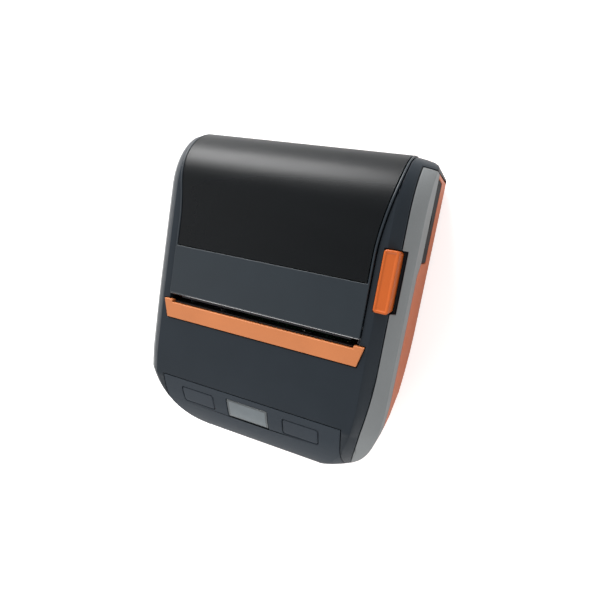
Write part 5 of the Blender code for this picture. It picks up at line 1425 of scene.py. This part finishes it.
def port_cutters():
    """The recess of the port cover and the two socket windows behind it."""
    recess = box(
        (PORT_FACE_X, PORT_START_Y - GAP, PORT_LOW_Z - 2 * GAP),
        (HALF_WIDTH + OVERRUN, PORT_END_Y + GAP, PARTING_PORT + OVERRUN),
    )
    cutters = [recess]
    for node in ("usb_socket", "charge_socket"):
        low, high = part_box(node)
        cutters.append(
            box(
                (PORT_FACE_X - OVERRUN / 2, low.y - GAP, low.z - GAP),
                (PORT_FACE_X + GAP, high.y + GAP, high.z + GAP),
            )
        )
    return cutters


def back_shell(edge):
    shell = cut(form(), above_parting(-GAP / 2), form(BACK_WALL), nose_notch())
    margin = GAP + BAY_WALL
    bay = middle_box(
        BATTERY_HIGH.x + margin,
        (BATTERY_LOW.y - margin, FOOT_PROUD + BACK_WALL / 2),
        (BATTERY_HIGH.y + margin, BAY_TOP),
    )
    screws = both_sides(REAR_SCREW, FRONT_SCREW)
    bosses = [
        keep(
            cylinder("Z", place, BOSS_RADIUS, 0, POST_LOW_Z - GAP, SMALL_SIDES),
            form(BACK_WALL / 2),
        )
        for place in screws
    ]
    join(shell, bay, *bosses, port_block())
    space = prism("Z", battery_plan(GAP), -OVERRUN, BAY_TOP + OVERRUN)
    cut(shell, space, *slider_cutters(), *port_cutters())
    recesses = [
        cylinder("Z", place, FOOT_RADIUS + GAP, -OVERRUN, FOOT_PROUD + FOOT_RECESS)
        for place in both_sides(REAR_FOOT, FRONT_FOOT)
    ]
    head_top = SCREW_HEAD_Z + SCREW_HEAD_HEIGHT + GAP
    for place in screws:
        recesses.append(cylinder("Z", place, SCREW_HEAD_RADIUS + GAP, -OVERRUN, head_top))
        recesses.append(cylinder("Z", place, SCREW_RADIUS + GAP, 0, POST_LOW_Z + GAP, SMALL_SIDES))
    cut(shell, *recesses)
    return round_edges(shell, edge)


def chin_panel(edge):
    panel = cut(form(), form(PANEL_WALL))
    keep(panel, panel_zone(0))
    cut(panel, nose_notch(), *chin_holes(0))
    return round_edges(panel, edge)


def press_key(side, edge):
    key = on_chin(prism("Z", key_outline(side, 0), -KEY_DEPTH, OVERRUN))
    return round_edges(keep(key, form()), edge, segments=3)


def display_glass():
    """The display's window, with a UV map from corner to corner for its border and pixels."""
    pane = on_chin(prism("Z", display_outline(0), -DISPLAY_SUNK - DISPLAY_WALL, OVERRUN))
    round_edges(keep(pane, form(DISPLAY_SUNK)), DISPLAY_EDGE)
    flat = chin_matrix().inverted()
    layer = pane.data.uv_layers.new(name="pane")
    for loop in pane.data.loops:
        place = flat @ pane.data.vertices[loop.vertex_index].co
        layer.data[loop.index].uv = (
            0.5 + place.x / (2 * DISPLAY_HALF),
            0.5 + place.y / (2 * DISPLAY_HALF_HEIGHT),
        )
    return pane


def tear_bar(edge):
    bar = prism("Z", tear_outline(0, True), FACE_HEIGHT - TEAR_DEPTH, COVER_TOP + OVERRUN)
    slope = [
        (TEAR_TOP_Y + OVERRUN, 0),
        (TEAR_TOP_Y + OVERRUN, FACE_HEIGHT + TEAR_TOP_PROUD),
        (TEAR_TOP_Y, FACE_HEIGHT + TEAR_TOP_PROUD),
        (TEAR_BOTTOM_Y, FACE_HEIGHT + TEAR_BOTTOM_PROUD),
        (TEAR_BOTTOM_Y - OVERRUN, FACE_HEIGHT + TEAR_BOTTOM_PROUD),
        (TEAR_BOTTOM_Y - OVERRUN, 0),
    ]
    keep(bar, prism("X", slope, -HALF_WIDTH, HALF_WIDTH))
    return round_edges(bar, edge)


def cheeks():
    """Side cheeks under the cover, which hold the platen's bushes."""
    low = PLATEN_Z - CHEEK_DROP
    top = COVER_TOP - COVER_WALL / 2
    half = [(CHEEK_HALF - CHEEK_CHAMFER, low), (CHEEK_HALF, low + CHEEK_CHAMFER), (CHEEK_HALF, top)]
    outline = [(PLATEN_Y + y, z) for y, z in mirrored(half)]
    spans = [sorted((side * CHEEK_X, side * (CHEEK_X + CHEEK_WALL))) for side in (-1, 1)]
    return [prism("X", outline, *span) for span in spans]


def cover_catch():
    """A tab under the cover's edge, which faces the latch's nub."""
    outside = COVER_HALF_FRONT - CATCH_INSET
    return latch_box(
        (outside - CATCH_WALL, outside),
        CATCH_HALF,
        (COVER_TOP - CATCH_LENGTH, COVER_TOP - COVER_WALL / 2),
    )


def catch_window():
    """The hole in the cover's catch that the latch's nub reaches into."""
    top = LATCH_TOP - LATCH_NUB_DROP + GAP
    inside = COVER_HALF_FRONT - CATCH_INSET - CATCH_WALL
    return latch_box(
        (inside - GAP, COVER_HALF_FRONT),
        LATCH_NUB_HALF + GAP,
        (top - LATCH_NUB_WALL - 2 * GAP, top),
    )


def paper_cover(edge):
    half = COVER_HALF_REAR + OVERRUN
    slab = prism("X", cover_profile(), -half, half)
    join(slab, rod((HINGE_Y, HINGE_Z), KNUCKLE_RADIUS, half, ROUND_SIDES))
    plan = cover_plan(0, COVER_FRONT_Y - OVERRUN, END_Y + OVERRUN)
    keep(slab, prism("Z", plan, -OVERRUN, COVER_TOP + OVERRUN))
    join(slab, *cheeks(), cover_catch())
    arc_clearance = GAP / (COVER_TOP - ROLL_Z)
    pocket = window_layer(
        WINDOW_Y - GAP,
        -GAP,
        WINDOW_WALL + GAP,
        WINDOW_MARGIN - GAP,
        WINDOW_ARC_SHARE + arc_clearance,
    )
    sight = middle_box(
        SIGHT_HALF, (SIGHT_START_Y, ROLL_Z), (SIGHT_END_Y, COVER_TOP + OVERRUN)
    )
    bore = rod((HINGE_Y, HINGE_Z), HINGE_PIN_RADIUS + GAP, HALF_WIDTH)
    bush_radius = SHAFT_RADIUS + BUSH_WALL + 2 * GAP
    bush_hole = rod((PLATEN_Y, PLATEN_Z), bush_radius, CHEEK_X + CHEEK_WALL + GAP)
    cut(slab, pocket, sight, bore, bush_hole, catch_window())
    return round_edges(slab, edge)


def cover_window(edge):
    pane = window_layer(WINDOW_Y, 0, WINDOW_WALL, WINDOW_MARGIN, WINDOW_ARC_SHARE)
    return round_edges(pane, edge)


def platen_roller():
    """A ground rubber sleeve with a bore and small chamfers at its ends."""
    axis = (PLATEN_Y, PLATEN_Z)
    roller = rod(axis, PLATEN_RADIUS, PLATEN_HALF, ROUND_SIDES)
    cut(roller, rod(axis, SHAFT_RADIUS + GAP, HALF_WIDTH))
    return round_edges(roller, ROLLER_EDGE)


def paper_bin(edge):
    """The paper roll's tub, with its front wall standing higher than its rear wall."""
    wall = BIN_HIGH.x - PLATEN_HALF - BIN_ROOM
    radius = (BIN_HIGH.y - BIN_LOW.y) / 2
    middle = (BIN_HIGH.y + BIN_LOW.y) / 2
    centre_z = BIN_LOW.z + radius
    rear_top = HINGE_Z - BIN_REAR_DROP

    def outline(reach, rise):
        points = [(middle - reach, BIN_HIGH.z + rise)]
        for share in shares(COVER_ARC_STEPS):
            angle = math.pi * (1 + share)
            points.append((middle + reach * math.cos(angle), centre_z + reach * math.sin(angle)))
        return points + [(middle + reach, rear_top + rise)]

    tub = prism("X", outline(radius, 0), -BIN_HIGH.x, BIN_HIGH.x)
    inside = BIN_HIGH.x - wall
    cut(tub, prism("X", outline(radius - wall, OVERRUN), -inside, inside))
    return round_edges(tub, edge)


def latch_button(edge, dish):
    """The latch button with rounded edges and a shallow thumb dish, its nub and its tail."""
    centre = (LATCH_X + LATCH_WIDTH / 2, LATCH_Y)
    half_y = (LATCH_END_Y - LATCH_START_Y) / 2
    levels = [(0, LATCH_LOW_Z - LATCH_TOP)]
    for angle in quarter(CORNER_STEPS):
        levels.append((edge * (1 - math.cos(angle)), edge * (math.sin(angle) - 1)))
    for share in shares(CORNER_STEPS):
        inset = edge + LATCH_RIM + LATCH_DISH_SLOPE * share
        levels.append((inset, dish * (math.cos(math.pi * share) - 1) / 2))
    rings = []
    for inset, rise in levels:
        corner = max(LATCH_CORNER - inset, LATCH_LEAST_CORNER)
        plan = rounded_rectangle(centre, LATCH_WIDTH / 2 - inset, half_y - inset, corner)
        rings.append([(x, y, LATCH_TOP + rise) for x, y in plan])
    button = loft(rings)
    top = LATCH_TOP - LATCH_NUB_DROP
    end = LATCH_X + LATCH_TAIL_WALL
    nub = latch_box((COVER_HALF_FRONT + GAP, end), LATCH_NUB_HALF, (top - LATCH_NUB_WALL, top))
    tail = latch_box((LATCH_X, end), LATCH_TAIL_HALF, (LATCH_LOW.z, LATCH_LOW_Z + LATCH_TAIL_WALL))
    return round_edges(join(button, nub, tail), 0)


def port_cover(edge):
    """The rubber flap, with a thumb lip along its top edge."""
    outside = HALF_WIDTH + OVERRUN
    zone = box((PORT_LOW.x, PORT_START_Y, PORT_LOW_Z), (outside, PORT_END_Y, PORT_HIGH.z))
    flap = keep(form(), zone)
    middle = ((PORT_START_Y + PORT_END_Y) / 2, PORT_HIGH.z + PORT_SCOOP_RISE)
    floor = HALF_WIDTH - PORT_SCOOP_DEPTH
    scoop = cylinder("X", middle, PORT_SCOOP_RADIUS, floor, outside)
    return round_edges(cut(flap, scoop), edge)


def battery_pack(edge):
    """The battery, with a panel line and a thumb hollow in the face that shows."""
    low = BATTERY_LOW.z
    pack = prism("Z", battery_plan(0), low, BATTERY_HIGH.z)
    line = prism("Z", battery_plan(-PANEL_LINE_INSET), low - OVERRUN, low + PANEL_LINE_DEPTH)
    inner = battery_plan(-PANEL_LINE_INSET - PANEL_LINE_WIDTH)
    cut(line, prism("Z", inner, low - 2 * OVERRUN, OVERRUN))
    place = (0, BATTERY_HIGH.y - HOLLOW_INSET)
    hollow = cylinder("Z", place, HOLLOW_RADIUS, low - OVERRUN, low + HOLLOW_DEPTH)
    cut(pack, line, hollow)
    return round_edges(pack, edge)


def battery_latch(edge, ribs):
    """The sliding latch behind the battery, with grooves across its thumb pad."""
    low, top = SLIDER_HIGH.z - SLIDER_FLANGE_WALL, SLIDER_HIGH.z
    slider = middle_box(SLIDER_HALF, (SLIDER_START_Y, SLIDER_LOW.z), (SLIDER_END_Y, top))
    flange = middle_box(
        SLIDER_HALF + SLIDER_FLANGE, (SLIDER_START_Y, low), (SLIDER_HIGH.y, top)
    )
    tongue = middle_box(
        SLIDER_TONGUE_HALF, (BATTERY_HIGH.y + GAP, low), (SLIDER_START_Y + GAP, top)
    )
    join(slider, flange, tongue)
    pitch = (SLIDER_END_Y - SLIDER_START_Y) / ribs
    grooves = []
    for i in range(ribs):
        middle = SLIDER_START_Y + pitch * (i + 0.5)
        start = (middle - SLIDER_GROOVE, SLIDER_LOW.z - OVERRUN)
        end = (middle + SLIDER_GROOVE, SLIDER_LOW.z + SLIDER_GROOVE)
        grooves.append(middle_box(SLIDER_HALF - SLIDER_GROOVE, start, end))
    cut(slider, *grooves)
    return round_edges(slider, edge)


def rubber_foot():
    """One foot about the origin, with a softened edge and a shallow ring."""
    foot = cylinder("Z", (0, 0), FOOT_RADIUS, 0, FOOT_PROUD + FOOT_RECESS - GAP)
    inner, outer = [FOOT_RADIUS * share for share in FOOT_RING_SHARES]
    ring = cylinder("Z", (0, 0), outer, -OVERRUN, FOOT_RING_DEPTH)
    cut(ring, cylinder("Z", (0, 0), inner, -2 * OVERRUN, OVERRUN))
    return round_edges(cut(foot, ring), FOOT_EDGE)


def case_screw():
    """One socket screw about the origin, head down."""
    low = SCREW_HEAD_Z
    screw = cylinder("Z", (0, 0), SCREW_HEAD_RADIUS, low, low + SCREW_HEAD_HEIGHT)
    top = low + SOCKET_DEPTH
    shank = cylinder("Z", (0, 0), SCREW_RADIUS, top + GAP, POST_LOW_Z + SCREW_REACH, SMALL_SIDES)
    socket = cylinder("Z", (0, 0), SOCKET_RADIUS, low - OVERRUN, top, SOCKET_SIDES)
    return round_edges(cut(join(screw, shank), socket), SCREW_EDGE)


# Operators


class PrinterOperator:
    """What every operator of the printer shares."""

    bl_options = {"REGISTER", "UNDO"}

    def execute(self, context):
        self.build(context.scene.printer_sizes)
        return {"FINISHED"}


class PRINTER_OT_front_shell(PrinterOperator, Operator):
    """Build the black front shell"""

    bl_idname = "printer.front_shell"
    bl_label = "Front shell"

    def build(self, sizes):
        shell = front_shell(sizes.shell_edge)
        fit(shell, "front_shell_moulding", ["front_shell"], "body", "black_plastic")


class PRINTER_OT_side_bands(PrinterOperator, Operator):
    """Build the two textured grey side bands"""

    bl_idname = "printer.side_bands"
    bl_label = "Side bands"

    def build(self, sizes):
        for side, word in ((-1, "left"), (1, "right")):
            band = side_band(side, sizes.shell_edge)
            fit(band, f"{word}_band_moulding", [f"{word}_side_band"], "body", "grey_plastic")


class PRINTER_OT_back_shell(PrinterOperator, Operator):
    """Build the orange back shell with its battery bay"""

    bl_idname = "printer.back_shell"
    bl_label = "Back shell"

    def build(self, sizes):
        shell = back_shell(sizes.shell_edge)
        fit(shell, "back_shell_moulding", ["back_shell"], "body", "orange_plastic")


class PRINTER_OT_chin(PrinterOperator, Operator):
    """Build the chin panel, its two press keys and the display glass"""

    bl_idname = "printer.chin"
    bl_label = "Chin panel, keys and display"

    def build(self, sizes):
        panel = chin_panel(sizes.shell_edge)
        fit(panel, "chin_panel_moulding", ["chin_panel"], "body", "panel_plastic")
        for side, word in ((-1, "power"), (1, "feed")):
            key = press_key(side, sizes.key_edge)
            fit(key, f"{word}_key_cap", [f"{word}_button"], f"{word}_key", "key_plastic")
        fit(display_glass(), "display_pane", ["display_window"], "body", "display_glass")


class PRINTER_OT_tear_bar(PrinterOperator, Operator):
    """Build the orange tear bar and its toothed blade"""

    bl_idname = "printer.tear_bar"
    bl_label = "Tear bar and blade"

    def build(self, sizes):
        bar = tear_bar(sizes.shell_edge)
        # The tear bar takes the paler orange, which is painted sheen
        fit(bar, "tear_bar_strip", ["tear_bar"], "body", "orange_plastic", "bar_orange")
        fit(tear_teeth(sizes.blade_teeth), "tear_teeth", ["tear_blade"], "body", "blade_steel")


class PRINTER_OT_cover(PrinterOperator, Operator):
    """Build the hinged paper cover and its smoked window"""

    bl_idname = "printer.cover"
    bl_label = "Paper cover and window"

    def build(self, sizes):
        cover = paper_cover(sizes.cover_edge)
        fit(cover, "paper_cover_moulding", ["paper_cover"], "cover", "cover_plastic")
        window = cover_window(sizes.shell_edge / 2)
        fit(window, "smoked_cover_window", ["cover_window"], "cover", "smoked_window")


class PRINTER_OT_paper_path(PrinterOperator, Operator):
    """Build the platen's rubber sleeve, the paper bin and the print head's springs"""

    bl_idname = "printer.paper_path"
    bl_label = "Platen, paper bin and head springs"

    def build(self, sizes):
        fit(platen_roller(), "platen_sleeve", ["platen_roller"], "platen", "rubber")
        fit(paper_bin(sizes.shell_edge), "paper_roll_tub", ["paper_bin"], "body", "bin_plastic")
        turn = (-math.pi / 2, 0.0, 0.0)
        for word in ("left", "right"):
            node, name = f"head_spring_{word}", f"head_coil_{word}"
            fitted_spring(node, name, 1, turn, HEAD_COIL_RADIUS, sizes.spring_turns)


class PRINTER_OT_latch(PrinterOperator, Operator):
    """Build the orange latch button and its spring"""

    bl_idname = "printer.latch"
    bl_label = "Cover latch"

    def build(self, sizes):
        button = latch_button(sizes.latch_edge, sizes.latch_dish)
        fit(button, "latch_thumb_button", ["latch_button"], "latch", "orange_plastic")
        turn, turns = (0.0, math.pi / 2, 0.0), sizes.latch_spring_turns
        fitted_spring("latch_spring", "latch_coil", 0, turn, LATCH_COIL_RADIUS, turns)


class PRINTER_OT_port_cover(PrinterOperator, Operator):
    """Build the rubber port cover"""

    bl_idname = "printer.port_cover"
    bl_label = "Port cover"

    def build(self, sizes):
        fit(port_cover(sizes.shell_edge), "port_flap", ["port_cover"], "port_door", "rubber")


class PRINTER_OT_battery(PrinterOperator, Operator):
    """Build the battery pack and its sliding latch"""

    bl_idname = "printer.battery"
    bl_label = "Battery and its latch"

    def build(self, sizes):
        pack = battery_pack(sizes.shell_edge)
        fit(pack, "battery_case", ["battery_pack"], "battery", "battery_plastic")
        slider = battery_latch(sizes.shell_edge / 2, sizes.slider_ribs)
        fit(slider, "battery_slide_latch", ["battery_latch"], "battery_slider", "key_plastic")


class PRINTER_OT_fasteners(PrinterOperator, Operator):
    """Build the four rubber feet and the four case screws"""

    bl_idname = "printer.fasteners"
    bl_label = "Feet and screws"

    def build(self, sizes):
        corners = ("front_left", "front_right", "rear_left", "rear_right")
        feet = mirrored_pairs("rubber_feet", rubber_foot(), "rubber", FRONT_FOOT, REAR_FOOT)
        fit(feet, "rubber_feet", [f"foot_{corner}" for corner in corners], "body", "rubber")
        screws = mirrored_pairs("case_screws", case_screw(), "steel", FRONT_SCREW, REAR_SCREW)
        nodes = [f"case_screw_{corner}" for corner in corners]
        fit(screws, "case_screws", nodes, "body", "steel")


class PRINTER_OT_inner_finishes(PrinterOperator, Operator):
    """Give each CAD piece that still shows the finish of its slot in the record"""

    bl_idname = "printer.inner_finishes"
    bl_label = "Inner finishes"

    def build(self, sizes):
        for part in frame["record"]["subparts"]:
            node = frame["nodes"][part["node"]]
            if not node.hide_render:
                for holder in node.material_slots:
                    holder.material = finish_of(part["material_slot"])


# Stage


def floor_finish():
    """A pale floor that keeps the printer's shadow and shows almost white to the camera."""
    finish = Finish("pale_floor", roughness=0.9, specular_ior_level=0.0, emission_strength=1.0)
    paper = finish.noise(FLOOR_CLOUD, 3.0)
    seen = finish.node("ShaderNodeLightPath", output="Is Camera Ray")
    return finish.dress(
        base_color=finish.tint([FLOOR_SHADE] * 3, paper, 0.01),
        emission_color=finish.mix(seen, (0, 0, 0, 1), (*[FLOOR_GLOW] * 3, 1)),
    )


def add_floor():
    bm = bmesh.new()
    bmesh.ops.create_grid(bm, x_segments=4, y_segments=4, size=FLOOR_HALF)
    floor = object_from("floor", bm)
    floor.data.materials.append(floor_finish())


def add_softbox(name, direction, distance, size, power):
    """A flat light at distance along direction from the printer, facing it."""
    light = bpy.data.lights.new(name, "AREA")
    light.shape = "RECTANGLE"
    light.size, light.size_y = size
    light.energy = power
    obj = new_object(name, light)
    towards = Vector(direction).normalized()
    obj.location = LAMP_TARGET + towards * distance
    obj.rotation_euler = towards.to_track_quat("Z", "Y").to_euler()


def add_world():
    """An even white light, which the camera sees at full strength behind the floor."""
    world = bpy.data.worlds.new("studio")
    world.use_nodes = True
    bpy.context.scene.world = world
    graph = Graph(world.node_tree)
    background = world.node_tree.nodes["Background"]
    seen = graph.node("ShaderNodeLightPath", output="Is Camera Ray")
    background.inputs["Color"].default_value = (1, 1, 1, 1)
    graph.feed(background.inputs["Strength"], seen * (1 - WORLD_STRENGTH) + WORLD_STRENGTH)


def add_camera():
    camera = bpy.data.cameras.new("camera")
    camera.lens = CAMERA_LENS
    camera.sensor_width = CAMERA_SENSOR
    camera.clip_start = CAMERA_CLIP
    obj = new_object("camera", camera)
    right = CAMERA_RIGHT.normalized()
    up = (CAMERA_UP - right * CAMERA_UP.dot(right)).normalized()
    axes = Matrix((right, up, right.cross(up))).transposed().to_4x4()
    obj.matrix_world = Matrix.Translation(CAMERA_PLACE) @ axes
    bpy.context.scene.camera = obj


class PRINTER_OT_stage(PrinterOperator, Operator):
    """Build the floor, the soft lights, the world and the camera"""

    bl_idname = "printer.stage"
    bl_label = "Stage"

    def build(self, sizes):
        bpy.context.scene.view_settings.view_transform = "Standard"
        add_floor()
        add_world()
        for name, values in LAMPS.items():
            add_softbox(name, *values)
        add_camera()


STEPS = (
    PRINTER_OT_front_shell,
    PRINTER_OT_side_bands,
    PRINTER_OT_back_shell,
    PRINTER_OT_chin,
    PRINTER_OT_tear_bar,
    PRINTER_OT_cover,
    PRINTER_OT_paper_path,
    PRINTER_OT_latch,
    PRINTER_OT_port_cover,
    PRINTER_OT_battery,
    PRINTER_OT_fasteners,
    PRINTER_OT_inner_finishes,
    PRINTER_OT_stage,
)


class PRINTER_PT_steps(Panel):
    """Lists the printer's settings and steps in the 3D view's sidebar"""

    bl_idname = "PRINTER_PT_steps"
    bl_label = "Receipt printer"
    bl_space_type = "VIEW_3D"
    bl_region_type = "UI"
    bl_category = "Receipt Printer"

    def draw(self, context):
        for settings in (context.scene.printer_sizes, context.scene.printer_colours):
            for name in settings.__annotations__:
                self.layout.prop(settings, name)
        for step in STEPS:
            self.layout.operator(step.bl_idname)


CLASSES = (PrinterSizes, PrinterColours, *STEPS, PRINTER_PT_steps)


def register():
    for entry in CLASSES:
        bpy.utils.register_class(entry)
    bpy.types.Scene.printer_sizes = PointerProperty(type=PrinterSizes)
    bpy.types.Scene.printer_colours = PointerProperty(type=PrinterColours)


def unregister():
    del bpy.types.Scene.printer_colours
    del bpy.types.Scene.printer_sizes
    for entry in reversed(CLASSES):
        bpy.utils.unregister_class(entry)


def main():
    register()
    for step in STEPS:
        group, name = step.bl_idname.split(".")
        getattr(getattr(bpy.ops, group), name)()


if __name__ == "__main__":
    main()
